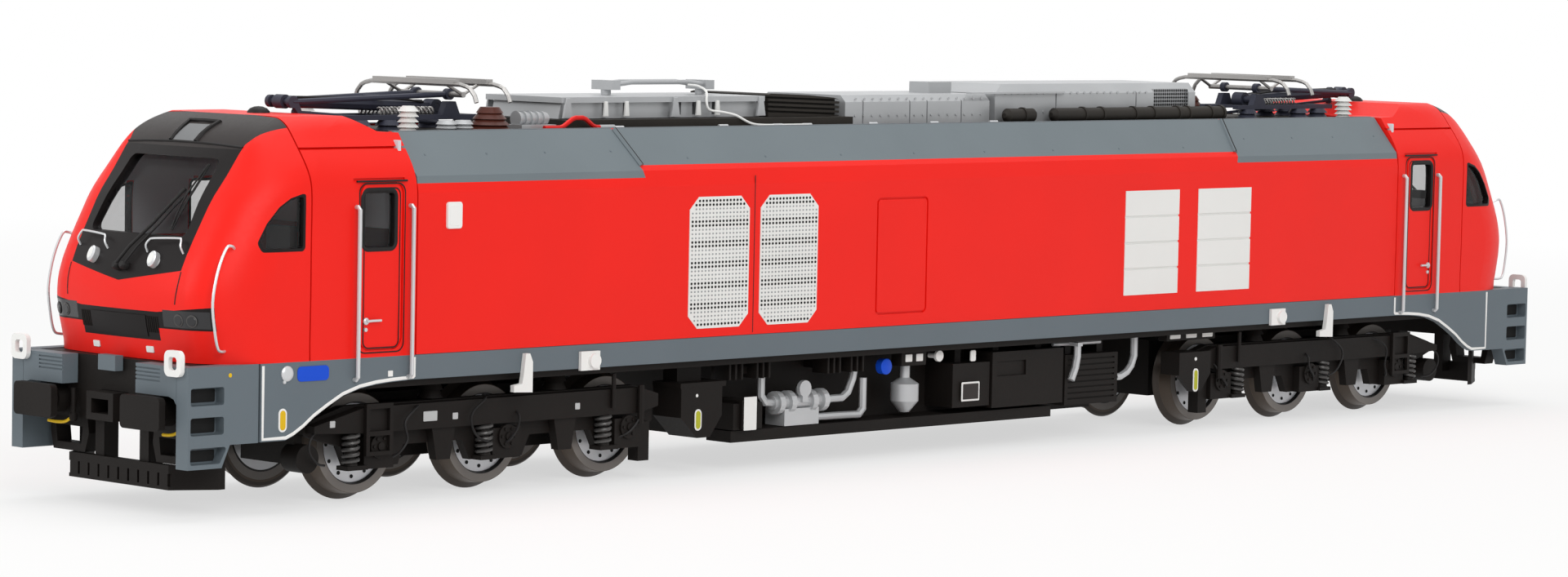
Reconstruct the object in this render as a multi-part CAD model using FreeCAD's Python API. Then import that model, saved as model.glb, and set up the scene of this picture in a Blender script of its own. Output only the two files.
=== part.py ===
import FreeCAD, Part
import math
import os
from FreeCAD import Vector

# An H0 (1:87) model of a six-axle electric locomotive with two cabs. Millimetres, +X towards cab 1, +Z up.
# Heights are measured from the rail head. The wheels stand on their flanges, so export lifts every
# shape by the flange depth and the finished part stands on Z = 0.

# Driving dimensions
length_over_buffers = 264.6
body_width = 33.3
nose_setback = 5.0
nose_length = 14.7
door_section_length = 16.2
bogie_setback = 53.0
axle_spacing = 20.5
wheel_diameter = 12.26
wheel_width = 2.8
flange_depth = 0.8
wheel_back_to_back = 14.3
sill_bottom = 14.2
sill_height = 2.8
wall_height = 19.2
eave_rise = 2.0
eave_inset = 0.35
shoulder_rise = 5.1
shoulder_inset = 4.65
cab_roof_rise = 1.9
shell_wall = 1.0
seat_gap = 0.05
panel_gap = 0.2
stand_gap = 0.3
cut_over = 1.0

half_width = body_width / 2
half_length = length_over_buffers / 2
bogie_x = half_length - bogie_setback
nose_tip_x = half_length - nose_setback
nose_seam_x = nose_tip_x - nose_length
cab_rear_x = nose_seam_x - door_section_length
sill_top = sill_bottom + sill_height
wall_top = sill_top + wall_height
shoulder_base = wall_top + eave_rise
shoulder_top = shoulder_base + shoulder_rise
shoulder_top_half = half_width - shoulder_inset
cab_roof_top = shoulder_top + cab_roof_rise
axle_z = wheel_diameter / 2

parts_folder = "parts"
os.makedirs(parts_folder, exist_ok=True)


# Shape helpers
def box(x, y, z):
    """A block between two values on each axis."""
    size = [max(pair) - min(pair) for pair in (x, y, z)]
    return Part.makeBox(*size, Vector(min(x), min(y), min(z)))


def between(pair, share):
    """The value at a share of the way from one value to another."""
    return pair[0] + (pair[1] - pair[0]) * share


def part_of(pair, shares):
    """The span between two shares of a longer span."""
    return (between(pair, shares[0]), between(pair, shares[1]))


def fitted(u, v, shares):
    """Outline points given as shares of a rectangle."""
    return [(between(u, a), between(v, b)) for a, b in shares]


def grown(pair, by):
    return (min(pair) - by, max(pair) + by)


def negative(pair):
    return (-pair[0], -pair[1])


arc_run_share = 0.48
shortest_run = 1e-6
least_bend = math.radians(1)


def fillet_edges(points, radius, closed):
    """Straight runs joined by tangent arcs. A radius too large for its runs is reduced."""
    count = len(points)
    corners = []
    for i, point in enumerate(points):
        if not closed and i in (0, count - 1):
            corners.append((point, None, point))
            continue
        before = points[i - 1] - point
        after = points[(i + 1) % count] - point
        bend = math.pi - before.getAngle(after)
        reach = min(radius * math.tan(bend / 2), before.Length * arc_run_share, after.Length * arc_run_share)
        if reach <= 0 or bend < least_bend:
            corners.append((point, None, point))
            continue
        arc_radius = reach / math.tan(bend / 2)
        start = point + before.normalize() * reach
        end = point + after.normalize() * reach
        inward = ((start + end) / 2 - point).normalize()
        centre_reach = math.hypot(arc_radius, reach)
        middle = point + inward * (centre_reach - arc_radius)
        corners.append((start, middle, end))
    edges = []
    runs = count if closed else count - 1
    for i in range(count):
        start, middle, end = corners[i]
        if middle is not None:
            edges.append(Part.Arc(start, middle, end).toShape())
        if i < runs:
            follow = corners[(i + 1) % count][0]
            if (follow - end).Length > shortest_run:
                edges.append(Part.LineSegment(end, follow).toShape())
    return edges


def place(axis, u, v, w):
    """A point from its two in-plane values and its value along the axis."""
    return {"x": Vector(w, u, v), "y": Vector(u, w, v), "z": Vector(u, v, w)}[axis]


def prism(axis, outline, span, radius=0):
    """An outline extruded along an axis: (y, z) points for x, (x, z) for y and (x, y) for z."""
    low, high = min(span), max(span)
    points = [place(axis, u, v, low) for u, v in outline]
    face = Part.Face(Part.Wire(Part.__sortEdges__(fillet_edges(points, radius, True))))
    return face.extrude(place(axis, 0, 0, high - low))


def rectangle(u, v):
    """The outline of a rectangle between two values each way."""
    return [(u[0], v[0]), (u[1], v[0]), (u[1], v[1]), (u[0], v[1])]


def cylinder(axis, centre, radius, span):
    """A cylinder along an axis. The centre is its two in-plane values."""
    low, high = min(span), max(span)
    return Part.makeCylinder(radius, high - low, place(axis, centre[0], centre[1], low), place(axis, 0, 0, 1))


bar_sides = 8


def bar(axis, centre, radius, span, sides=bar_sides):
    """A small round piece with flats, along an axis."""
    turns = [math.pi * (2 * i + 1) / sides for i in range(sides)]
    return prism(axis, [(centre[0] + radius * math.cos(a), centre[1] + radius * math.sin(a)) for a in turns], span)


def turned(axis, centre, outline):
    """A solid of revolution about an axis: the outline is (distance along the axis, radius) points."""
    points = [place(axis, centre[0] + r, centre[1], w) for w, r in outline]
    face = Part.Face(Part.makePolygon(points + [points[0]]))
    return face.revolve(place(axis, centre[0], centre[1], 0), place(axis, 0, 0, 1), 360)


def rod(points, radius, bend=0):
    """A thin bar with flats along straight runs, its corners cut off by the bend."""
    points = [Vector(*p) for p in points]
    path = [points[0]]
    for before, corner, after in zip(points, points[1:], points[2:]):
        back = before - corner
        ahead = after - corner
        reach = min(bend, back.Length * arc_run_share, ahead.Length * arc_run_share)
        if reach > 0:
            path += [corner + back.normalize() * reach, corner + ahead.normalize() * reach]
        else:
            path.append(corner)
    path.append(points[-1])
    ring = Part.makeCircle(radius, path[0], path[1] - path[0]).discretize(Number=bar_sides + 1)
    profile = Part.makePolygon(ring[:-1] + [ring[0]])
    return Part.makePolygon(path).makePipeShell([profile], True, False, 1)


def union(shapes):
    """One shape from several that touch or overlap."""
    shapes = list(shapes)
    if len(shapes) == 1:
        return shapes[0]
    return shapes[0].multiFuse(shapes[1:]).removeSplitter()


def difference(shape, tools):
    """A shape with each tool cut from it."""
    tools = list(tools)
    return shape.cut(Part.makeCompound(tools)) if tools else shape


def mirrored(shape):
    """The same piece on the other side of the locomotive."""
    return shape.mirror(Vector(0, 0, 0), Vector(0, 1, 0))


def turned_round(shape):
    """The same piece at the other end, turned half a turn about the vertical."""
    copy = shape.copy()
    copy.rotate(Vector(0, 0, 0), Vector(0, 0, 1), 180)
    return copy


def both_sides(shapes):
    return [copy for shape in shapes for copy in (shape, mirrored(shape))]


def both_ends(shapes):
    return [copy for shape in shapes for copy in (shape, turned_round(shape))]


def moved(shape, x=0, y=0, z=0):
    copy = shape.copy()
    copy.translate(Vector(x, y, z))
    return copy


saved = {}


def save(node, shapes):
    """Writes one node's solids, standing on the flanges."""
    solids = [solid for shape in shapes for solid in shape.Solids]
    for solid in solids:
        if not solid.isValid() or solid.Volume <= 0:
            print("unsound solid in", node, solid.Volume)
    piece = Part.makeCompound(solids)
    piece.translate(Vector(0, 0, flange_depth))
    piece.exportStep(os.path.join(parts_folder, node + ".step"))
    saved[node] = piece


# Cab: one lofted form for the nose and the door section, hollowed and then split at the panel seam
cab_height = cab_roof_top - sill_top
# Share of the cab's height, share of the nose's reach, and share of the half width, from sill to roof
nose_section_shares = (
    (0.0, 0.920, 1.0, 0.64),
    (0.22, 0.995, 1.0, 0.64),
    (0.37, 0.950, 1.0, 0.64),
    (0.52, 0.815, 1.0, 0.64),
    (0.68, 0.640, 1.0, 0.64),
    (0.76, 0.520, 0.975, 0.65),
    (0.87, 0.370, 0.86, 0.67),
    (0.94, 0.220, 0.775, 0.66),
    (1.0, -0.020, 0.66, 0.58),
)
nose_bow = 0.7
nose_corner_depth = 8.5
corner_side_pull_share = 0.62
corner_front_pull_share = 0.5


def cab_y(share):
    """A place across the cab as a share of the half width."""
    return half_width * share


def cab_z(share):
    """A height on the cab as a share of the way from sill to roof."""
    return sill_top + cab_height * share


def cab_outline(shares):
    return [(cab_y(a), cab_z(b)) for a, b in shares]


def nose_section(height, reach, half, front_half, inset):
    """A level section through the cab, from its rear edge round the curved front."""
    front = nose_seam_x + reach - inset
    side = half - inset
    front_side = min(front_half, side - inset)
    start = front - nose_corner_depth
    pull = nose_corner_depth * corner_side_pull_share
    ease = (side - front_side) * corner_front_pull_share

    def corner(sign):
        curve = Part.BezierCurve()
        curve.setPoles([
            Vector(start, sign * side, height),
            Vector(start + pull, sign * side, height),
            Vector(front, sign * (front_side + ease), height),
            Vector(front, sign * front_side, height),
        ])
        return curve.toShape()

    rear = cab_rear_x - (cut_over if inset else 0)
    bow = Part.Arc(
        Vector(front, front_side, height), Vector(front + nose_bow, 0, height), Vector(front, -front_side, height)
    )
    edges = [
        Part.LineSegment(Vector(rear, -side, height), Vector(rear, side, height)).toShape(),
        Part.LineSegment(Vector(rear, side, height), Vector(start, side, height)).toShape(),
        corner(1),
        bow.toShape(),
        corner(-1),
        Part.LineSegment(Vector(start, -side, height), Vector(rear, -side, height)).toShape(),
    ]
    return Part.Wire(Part.__sortEdges__(edges))


def cab_form(inset):
    """The cab as one solid, or the space inside its walls, open below and behind, if it is inset."""
    wires = []
    if inset:
        rise, reach, half, front_half = nose_section_shares[0]
        wires.append(nose_section(sill_top - cut_over, reach * nose_length, half * half_width, front_half * half_width, inset))
    for rise, reach, half, front_half in nose_section_shares:
        wires.append(nose_section(
            cab_z(rise) - inset * rise, reach * nose_length, half * half_width, front_half * half_width, inset
        ))
    return Part.makeLoft(wires, True, False)


# Behind the nose the cab roof drops to the height of the machine room roof
slope_x_shares = (0.43, 0.19, 0.0)
slope_drop = 1.85
slope_end_drop = 2.0
slope_x = [between((cab_rear_x, nose_seam_x), share) for share in slope_x_shares]


slope_top = cab_roof_top + cut_over
slope_rear = cab_rear_x - cut_over
above_slope = prism("y", [
    (slope_x[0], cab_roof_top), (slope_x[1], cab_roof_top - slope_drop), (slope_rear, cab_roof_top - slope_end_drop),
    (slope_rear, slope_top), (slope_x[0], slope_top),
], (-half_width, half_width))
full_form = cab_form(0)
cab_outer = full_form.cut(above_slope)
# The space inside steps down under the slope
cavity_step_share = 0.38
cab_inner = cab_form(shell_wall).cut(box(
    (cab_rear_x - cut_over, between((cab_rear_x, nose_seam_x), cavity_step_share)),
    grown((-half_width, half_width), cut_over), (cab_roof_top - slope_end_drop - shell_wall, cab_roof_top)
))
cab_walls = cab_outer.cut(cab_inner)


def ahead_of_seam(offset):
    """Everything ahead of the seam between door section and nose, moved along by an offset."""
    return box((nose_seam_x + offset, half_length), grown((-half_width, half_width), cut_over), (0, cab_roof_top + cut_over))


# Black mask: the windscreen surround, its pointed lower panel and the cap over the nose
mask_shares = (
    (0, 0.318), (0.612, 0.375), (0.640, 0.885), (0.733, 0.961), (0.733, 1.1),
    (-0.733, 1.1), (-0.733, 0.961), (-0.640, 0.885), (-0.612, 0.375),
)
mask_region = prism("x", cab_outline(mask_shares), (nose_seam_x + panel_gap / 2, half_length))

# Windows: the windscreen, a sickle-shaped quarter window and the door window, each in a black surround
screen_shares = ((-0.535, 0.508), (0.535, 0.508), (0.49, 0.825), (-0.49, 0.825))
screen_corner = 0.9
glass_thickness = 0.5
glass_depth = 0.4
screen_hole = prism("x", cab_outline(screen_shares), (nose_seam_x, half_length), screen_corner)
quarter_x_shares = (0.06, 0.518)
quarter_z_shares = (0.454, 0.690)
quarter_x = part_of((nose_seam_x, nose_tip_x), quarter_x_shares)
quarter_z = (cab_z(quarter_z_shares[0]), cab_z(quarter_z_shares[1]))
quarter_shares = ((0, 0), (0.93, 0), (1.0, 0.16), (0.80, 0.50), (0.55, 0.78), (0.32, 0.93), (0.08, 1.0), (0, 1.0))
window_rim = 0.35
window_corner = 0.6
side_reach = grown((-half_width, half_width), cut_over)
quarter_hole = prism("y", fitted(quarter_x, quarter_z, quarter_shares), side_reach, window_corner)
quarter_pane = prism(
    "y", fitted(grown(quarter_x, -window_rim), grown(quarter_z, -window_rim), quarter_shares), side_reach, window_corner / 2
)
door_section_x = (cab_rear_x, nose_seam_x)
door_x_shares = (0.136, 0.54)
door_z_shares = (0.034, 0.730)
door_window_x_shares = (0.195, 0.518)
door_window_z_shares = (0.448, 0.698)
door_x = part_of(door_section_x, door_x_shares)
door_z = (cab_z(door_z_shares[0]), cab_z(door_z_shares[1]))
door_window_x = part_of(door_section_x, door_window_x_shares)
door_window_z = (cab_z(door_window_z_shares[0]), cab_z(door_window_z_shares[1]))
door_corner = 1.4
door_window_corner = 0.8
door_groove = 0.28
door_groove_depth = 0.3
door_window_hole = prism("y", rectangle(door_window_x, door_window_z), side_reach, door_window_corner)
door_pane = prism(
    "y", rectangle(grown(door_window_x, -window_rim), grown(door_window_z, -window_rim)), side_reach, door_window_corner / 2
)


def groove(x, z, corner, depth, surface):
    """A narrow ring cut into the side wall round a panel."""
    reach = (surface - depth, surface + cut_over)
    half = door_groove / 2
    outer = prism("y", rectangle(grown(x, half), grown(z, half)), reach, corner + half)
    inner = prism("y", rectangle(grown(x, -half), grown(z, -half)), reach, corner - half)
    return outer.cut(inner)


door_ring = groove(door_x, door_z, door_corner, door_groove_depth, half_width)
gutter_x_shares = (0.11, 0.60)
gutter_z_shares = (0.737, 0.748)
gutter_x = part_of(door_section_x, gutter_x_shares)
gutter = box(
    gutter_x, (half_width - shell_wall / 2, half_width + cut_over),
    (cab_z(gutter_z_shares[0]), cab_z(gutter_z_shares[1]))
)
hatch_line_z_shares = (0.866, 0.876)
hatch_line_depth = 0.3
hatch_line_z = (cab_z(hatch_line_z_shares[0]), cab_z(hatch_line_z_shares[1]))
hatch_line_cover = cab_outer.cut(cab_form(hatch_line_depth))
hatch_line = hatch_line_cover.common(box(grown(door_section_x, cut_over), side_reach, hatch_line_z))

# Nose details: the black band with lamps, cut as a shallow recess that its own piece fills
band_z_shares = (0.083, 0.135, 0.202, 0.232)
band_mid_half_share = 0.425
band_half_share = 0.877
band_depth = 0.6
band_back_share = 0.6
band_shares = (
    (-band_mid_half_share, band_z_shares[0]), (band_mid_half_share, band_z_shares[0]),
    (band_mid_half_share, band_z_shares[1]), (band_half_share, band_z_shares[1]),
    (band_half_share, band_z_shares[3]), (band_mid_half_share, band_z_shares[2]),
    (-band_mid_half_share, band_z_shares[2]), (-band_half_share, band_z_shares[3]),
    (-band_half_share, band_z_shares[1]), (-band_mid_half_share, band_z_shares[1]),
)
band_back = between((nose_seam_x, nose_tip_x), band_back_share)
band_prism = prism("x", cab_outline(band_shares), (band_back, half_length))
band_shell = full_form.cut(cab_form(band_depth))

# Lamps: glass set flush in the band, the mask and the cap
lamp_glass_depth = 0.4
headlamp_y_shares = (0.48, 0.855)
headlamp_z_shares = (0.143, 0.213)
upper_lamp_y_share = 0.345
upper_lamp_z_share = 0.404
upper_lamp_radius = 0.6
lower_lamp_y_share = 0.30
lower_lamp_half_share = 0.04
lower_lamp_z_shares = (0.028, 0.056)
roof_lamp_half_share = 0.125
roof_lamp_z_shares = (0.905, 0.945)
lamp_skin = full_form.cut(cab_form(lamp_glass_depth))
lamp_reach = (nose_seam_x + shell_wall, half_length)


def front_window(y_shares, z_shares):
    return prism("x", cab_outline(rectangle(y_shares, z_shares)), lamp_reach)


headlamp_regions = both_sides([front_window(headlamp_y_shares, headlamp_z_shares)])
upper_lamp_regions = both_sides([
    cylinder("x", (cab_y(upper_lamp_y_share), cab_z(upper_lamp_z_share)), upper_lamp_radius, lamp_reach)
])
lower_lamp_regions = both_sides([front_window(
    (lower_lamp_y_share - lower_lamp_half_share, lower_lamp_y_share + lower_lamp_half_share), lower_lamp_z_shares
)])
roof_lamp_region = front_window((-roof_lamp_half_share, roof_lamp_half_share), roof_lamp_z_shares)

skin = difference(cab_walls, [screen_hole, quarter_hole, door_window_hole])
mask = skin.common(mask_region)
red = skin.cut(mask_region)
band = band_shell.common(band_prism)
red = red.cut(band)
nose = red.common(ahead_of_seam(panel_gap / 2))
door_section = difference(red.cut(ahead_of_seam(-panel_gap / 2)), both_sides([door_ring, gutter]) + [hatch_line])
headlamps = [lamp_skin.common(region) for region in headlamp_regions]
upper_lamps = [lamp_skin.common(region) for region in upper_lamp_regions]
lower_lamps = [lamp_skin.common(region) for region in lower_lamp_regions]
roof_lamp = lamp_skin.common(roof_lamp_region)
band = difference(band, headlamps)
nose = difference(nose, lower_lamps + headlamps)
mask = difference(mask, upper_lamps + [roof_lamp])
pane_outer = cab_form(glass_depth)
glass_skin = pane_outer.cut(cab_form(glass_depth + glass_thickness))
rims = [
    cab_walls.common(quarter_hole.cut(quarter_pane)),
    cab_walls.common(door_window_hole.cut(door_pane)),
]
save("cab_noses", both_ends([nose]))
save("cab_sides", both_ends([door_section]))
save("cab_masks", both_ends([mask] + rims))
save("windscreens", both_ends([glass_skin.common(screen_hole)]))
save("cab_side_glass", both_ends([glass_skin.common(quarter_pane), glass_skin.common(door_pane)]))
save("front_bands", both_ends([band]))
save("front_lamps", both_ends(headlamps + upper_lamps + lower_lamps + [roof_lamp]))

# Cab interior: floor, desk and seat behind the windscreen
interior_gap = 0.3
interior_top_share = 0.25
interior_space = cab_form(shell_wall + interior_gap)
interior_floor = interior_space.common(
    box((cab_rear_x + interior_gap, half_length), side_reach, (sill_top + seat_gap, cab_z(interior_top_share)))
)
cab_length_x = (cab_rear_x, nose_tip_x)
desk_x_shares = (0.46, 0.86)
desk_z_shares = (0.2, 0.47)
desk_shares = ((0, 0), (0.7, 0), (1.0, 0.75), (0.84, 1.0), (0.5, 0.78), (0, 0.65))
desk_half_share = 0.75
desk = prism("y", fitted(
    part_of(cab_length_x, desk_x_shares), (cab_z(desk_z_shares[0]), cab_z(desk_z_shares[1])), desk_shares
), (-cab_y(desk_half_share), cab_y(desk_half_share))).common(interior_space)
seat_x_shares = (0.20, 0.35)
seat_z_shares = (0.2, 0.52)
seat_shares = ((0, 0), (1.0, 0), (1.0, 0.42), (0.25, 0.42), (0.25, 1.0), (0, 1.0))
seat_half = 2.2
seat = prism("y", fitted(
    part_of(cab_length_x, seat_x_shares), (cab_z(seat_z_shares[0]), cab_z(seat_z_shares[1])), seat_shares
), (-seat_half, seat_half))
save("cab_interiors", both_ends([union([interior_floor, desk, seat])]))

# Chassis: the plate that carries everything, with a headstock at each end and two pivot pins
plate_setback = 12.9
plate_inset = 1.1
plate_height = 2.45
plate_gap = 0.3
headstock_setback = 4.3
headstock_half_share = 0.80
headstock_drop = 0.8
draft_setback = 8.8
draft_half_share = 0.78
draft_height = 4.0
belly_half = 4.6
belly_drop = 2.5
body_rail_inner = 1.95
body_rail_height = 1.3
tank_x_shares = (-0.735, 0.675)
tank_half_share = 0.55
tank_low_share = 0.225
pivot_radius = 3.0
pivot_depth = 5.7
pivot_fit = 0.05
plate_end = half_length - plate_setback
plate_z = (sill_bottom + plate_gap, sill_bottom + plate_gap + plate_height)
headstock_end = half_length - headstock_setback
body_rail_y = (half_width - body_rail_inner, half_width - plate_inset)
headstock_half = half_width * headstock_half_share
draft_x = (half_length - draft_setback, headstock_end)
draft_half = half_width * draft_half_share
draft_z = (sill_bottom - headstock_drop - draft_height, sill_bottom - headstock_drop)
headstock_z = (draft_z[1], plate_z[1])
bogie_inner_share = 1.268
inner_reach = bogie_x - axle_spacing * bogie_inner_share
tank_half = half_width * tank_half_share


def under(share):
    """A place along the space between the bogies, as a share of its half length."""
    return inner_reach * share


def low(share):
    """A height below the body as a share of the way from the rail head to the sill."""
    return sill_bottom * share


def under_span(shares):
    return (under(shares[0]), under(shares[1]))


def low_span(shares):
    return (low(shares[0]), low(shares[1]))


tank_z = (low(tank_low_share), plate_z[0])
chassis = union([
    box((-plate_end, plate_end), (plate_inset - half_width, half_width - plate_inset), plate_z),
    box((-plate_end, plate_end), (-belly_half, belly_half), (plate_z[0] - belly_drop, plate_z[0])),
    box(under_span(tank_x_shares), (-tank_half, tank_half), tank_z),
] + both_sides([
    box((-plate_end, plate_end), body_rail_y, (plate_z[0] - body_rail_height, between(plate_z, arc_run_share))),
]) + both_ends([
    box((plate_end, headstock_end), (-headstock_half, headstock_half), headstock_z),
    box(draft_x, (-draft_half, draft_half), draft_z),
    cylinder("z", (bogie_x, 0), pivot_radius, (plate_z[0] - pivot_depth, plate_z[0])),
]))

# Coupler pocket: a close coupler shank slides into this standard opening
pocket_length = 4.0
pocket_reach = 2.2
pocket_outer_half = 2.5
pocket_outer_height = 3.3
pocket_half = 1.6
pocket_height = 1.7
pocket_end = 1.0
pocket_lift = 0.3
pocket_x = (headstock_end + pocket_reach - pocket_length, headstock_end + pocket_reach)
pocket_outer_z = (draft_z[0] + pocket_lift, draft_z[0] + pocket_lift + pocket_outer_height)
pocket_middle = (pocket_outer_z[0] + pocket_outer_z[1]) / 2
pocket_z = (pocket_middle - pocket_height / 2, pocket_middle + pocket_height / 2)
pocket_seat = box(
    (pocket_x[0] - seat_gap, half_length), grown((-pocket_outer_half, pocket_outer_half), seat_gap),
    (draft_z[0] - cut_over, pocket_outer_z[1] + seat_gap)
)
pocket = box(pocket_x, (-pocket_outer_half, pocket_outer_half), pocket_outer_z).cut(
    box((pocket_x[0] + pocket_end, half_length), (-pocket_half, pocket_half), pocket_z)
)
save("chassis_frame", [difference(chassis, both_ends([pocket_seat]))])
save("coupler_pockets", both_ends([pocket]))

# Side sills with the deep skirts at their ends
sill_skin = 1.0
skirt_setback = 12.4
skirt_length = 23.2
skirt_depth = 6.25
# Share of the skirt's length from its inner end, share of its depth
skirt_shares = (
    (0, 0.02), (0.14, 0.04), (0.25, 0.07), (0.36, 0.13), (0.47, 0.25), (0.573, 0.44), (0.66, 0.62), (0.728, 0.80),
    (0.79, 0.93), (0.84, 1.0), (1.0, 1.0),
)
skirt_end_x = half_length - skirt_setback
skirt_low = [
    (skirt_end_x - skirt_length * (1 - a), sill_bottom - skirt_depth * b) for a, b in skirt_shares
]
sill_outline = (
    skirt_low + [(skirt_end_x, sill_top), (-skirt_end_x, sill_top)] + [(-x, z) for x, z in reversed(skirt_low)]
)
save("side_sills", both_sides([prism("y", sill_outline, (-half_width, -half_width + sill_skin))]))

# Corner steps: hollow grey blocks with three treads on each side
beam_setback = 1.9
step_depth = 2.1
step_inset = 0.15
step_skirt_drop = 6.3
step_reach_drop = 2.6
step_taper = 1.2
step_rear_share = 0.40
step_front_wall = 0.4
step_back = 0.6
step_corner = 0.3
step_hole_rear_share = 0.49
step_hole_z_shares = ((0.885, 1.03), (0.645, 0.790))
step_low_z_shares = (0.41, 0.545)
step_x = (skirt_end_x + panel_gap, half_length - beam_setback)
step_y = (half_width - step_inset - step_depth, half_width - step_inset)
step_low = sill_bottom - step_skirt_drop
step_foot = step_low - step_reach_drop
step_rear = between(step_x, step_rear_share)
step_hole_x = (between(step_x, step_hole_rear_share), step_x[1] - step_front_wall)
step_reach = (step_y[0] + step_back, half_width + cut_over)
step_outline = [
    (step_x[0], step_low), (step_rear, step_low), (step_rear + step_taper, step_foot), (step_x[1], step_foot),
    (step_x[1], sill_top), (step_x[0], sill_top),
]
step_holes = [prism("y", rectangle(step_hole_x, low_span(pair)), step_reach, step_corner) for pair in step_hole_z_shares]
step_low_shares = ((0, 1), (0.2, 0), (1, 0), (1, 1))
step_holes.append(prism(
    "y", fitted((step_rear + step_front_wall, step_hole_x[1]), low_span(step_low_z_shares), step_low_shares),
    step_reach, step_corner
))
save("corner_steps", both_ends(both_sides([difference(prism("y", step_outline, step_y), step_holes)])))

# Beam plates with their ribs: the lower edge arches over the buffer. White loops stand in front of them
beam_thickness = 2.3
beam_inner_share = 0.414
beam_arch = 0.7
beam_x = (step_x[1] - beam_thickness, step_x[1])
beam_y = (half_width * beam_inner_share, step_y[0] - seat_gap)
beam_z = (sill_bottom - beam_arch, sill_top - seat_gap)
beam_shares = ((0, 0), (0.82, 0), (0.94, -0.08), (1.0, -0.25), (1.0, 1.0), (0, 1.0))
beam_rib_shares = (0.45, 0.58, 0.71, 0.84)
beam_rib_y_shares = (0, 0.6)
beam_rib_depth = 0.15
beam_rib_height = 0.18
beam_plate = difference(prism("x", fitted(beam_y, beam_z, beam_shares), beam_x), [
    box(
        (beam_x[1] - beam_rib_depth, half_length), (beam_y[0] - cut_over, between(beam_y, beam_rib_y_shares[1])),
        (between(beam_z, share), between(beam_z, share) + beam_rib_height)
    ) for share in beam_rib_shares
])
socket_half = 1.6
socket_rise = 0.3
socket_height = 1.8
socket = box(
    (beam_x[0], beam_x[1] - beam_thickness / 2), (-socket_half, socket_half),
    (sill_top + socket_rise - socket_height, sill_top + socket_rise)
)
save("beam_plates", both_ends(both_sides([beam_plate]) + [socket]))
loop_y_shares = (0.775, 0.955)
loop_rise = 1.9
loop_drop = 1.1
loop_thickness = 0.6
loop_wall = 0.75
loop_corner = 0.8
loop_slot_corner = 0.4
loop_x = (beam_x[1] + seat_gap, beam_x[1] + seat_gap + loop_thickness)
loop_y = part_of((0, half_width), loop_y_shares)
loop_z = (sill_top - loop_drop, sill_top + loop_rise)
beam_loop = prism("x", rectangle(loop_y, loop_z), loop_x, loop_corner).cut(
    prism("x", rectangle(grown(loop_y, -loop_wall), grown(loop_z, -loop_wall)), grown(loop_x, cut_over), loop_slot_corner)
)

# Buffers: rectangular plates on round stems
buffer_y_share = 0.604
buffer_z_share = 0.81
buffer_half_width = 3.6
buffer_half_height = 1.95
buffer_corner = 0.6
buffer_thickness = 0.9
buffer_stem_radius = 1.4
buffer_case_radius = 1.75
buffer_case_length = 1.6
buffer_y = half_width * buffer_y_share
buffer_z = low(buffer_z_share)
buffer_x = (half_length - buffer_thickness, half_length)
buffer_root = draft_x[1] + seat_gap
buffer = union([
    prism("x", rectangle(
        grown((buffer_y, buffer_y), buffer_half_width), grown((buffer_z, buffer_z), buffer_half_height)
    ), buffer_x, buffer_corner),
    cylinder("x", (buffer_y, buffer_z), buffer_stem_radius, (buffer_root, buffer_x[0])),
    cylinder("x", (buffer_y, buffer_z), buffer_case_radius, (buffer_root, buffer_root + buffer_case_length)),
])
save("buffers", both_ends(both_sides([buffer])))

# Shunter's steps: open brackets under the headstock behind the buffers
bracket_y_shares = (0.36, 0.80)
bracket_drop = 4.1
bracket_shares = ((0.04, 1), (0, 0.55), (0.1, 0), (0.92, 0), (1, 0.55), (0.96, 1))
bracket_hole_shares = ((0.16, 0.72), (0.2, 0.22), (0.82, 0.22), (0.86, 0.72))
bracket_setback = 5.2
bracket_depth = 2.1
bracket_x = (half_length - bracket_setback - bracket_depth, half_length - bracket_setback)
bracket_y = part_of((0, half_width), bracket_y_shares)
bracket_z = (draft_z[0] - seat_gap - bracket_drop, draft_z[0] - seat_gap)
bracket = prism("x", fitted(bracket_y, bracket_z, bracket_shares), bracket_x).cut(
    prism("x", fitted(bracket_y, bracket_z, bracket_hole_shares), grown(bracket_x, cut_over))
)
save("buffer_steps", both_ends(both_sides([bracket])))

# Plough: a ribbed blade below the headstock, swept back at its ends, where it rises to a horn
plough_setback = 4.9
plough_thickness = 1.0
plough_half_share = 0.735
plough_bend_share = 0.56
plough_sweep = 5.0
plough_z_shares = (0.155, 0.36)
plough_horn_share = 0.575
plough_horn_inner_share = 0.655
plough_rib_z_shares = (0.185, 0.29)
plough_ribs = 11
plough_rib_depth = 0.3
plough_rib_width = 0.35
hanger_y_shares = (0.2, 0.3)
hanger_depth = 1.6
plough_front = half_length - plough_setback
plough_half = half_width * plough_half_share
plough_bend = half_width * plough_bend_share
plough_z = low_span(plough_z_shares)
plough_plan = [
    (plough_front, -plough_bend), (plough_front, plough_bend), (plough_front - plough_sweep, plough_half),
    (plough_front - plough_sweep - plough_thickness, plough_half), (plough_front - plough_thickness, plough_bend),
    (plough_front - plough_thickness, -plough_bend), (plough_front - plough_sweep - plough_thickness, -plough_half),
    (plough_front - plough_sweep, -plough_half),
]
plough_tall = prism("z", plough_plan, (plough_z[0], low(plough_horn_share)))
plough_horn_inner = half_width * plough_horn_inner_share
plough = plough_tall.cut(
    box((0, half_length), (-plough_horn_inner, plough_horn_inner), (plough_z[1], sill_bottom))
)
hanger_x = (plough_front - plough_thickness - hanger_depth, plough_front - plough_thickness / 2)
hanger_y = part_of((0, half_width), hanger_y_shares)
hangers = both_sides([box(hanger_x, hanger_y, (between(plough_z, arc_run_share), draft_z[0] - seat_gap))])
plough_pitch = 2 * plough_bend / (plough_ribs - 1)
plough_grooves = [
    box(
        (plough_front - plough_rib_depth, half_length), grown((y, y), plough_rib_width / 2), low_span(plough_rib_z_shares)
    ) for y in [-plough_bend + i * plough_pitch for i in range(plough_ribs)]
]
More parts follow.
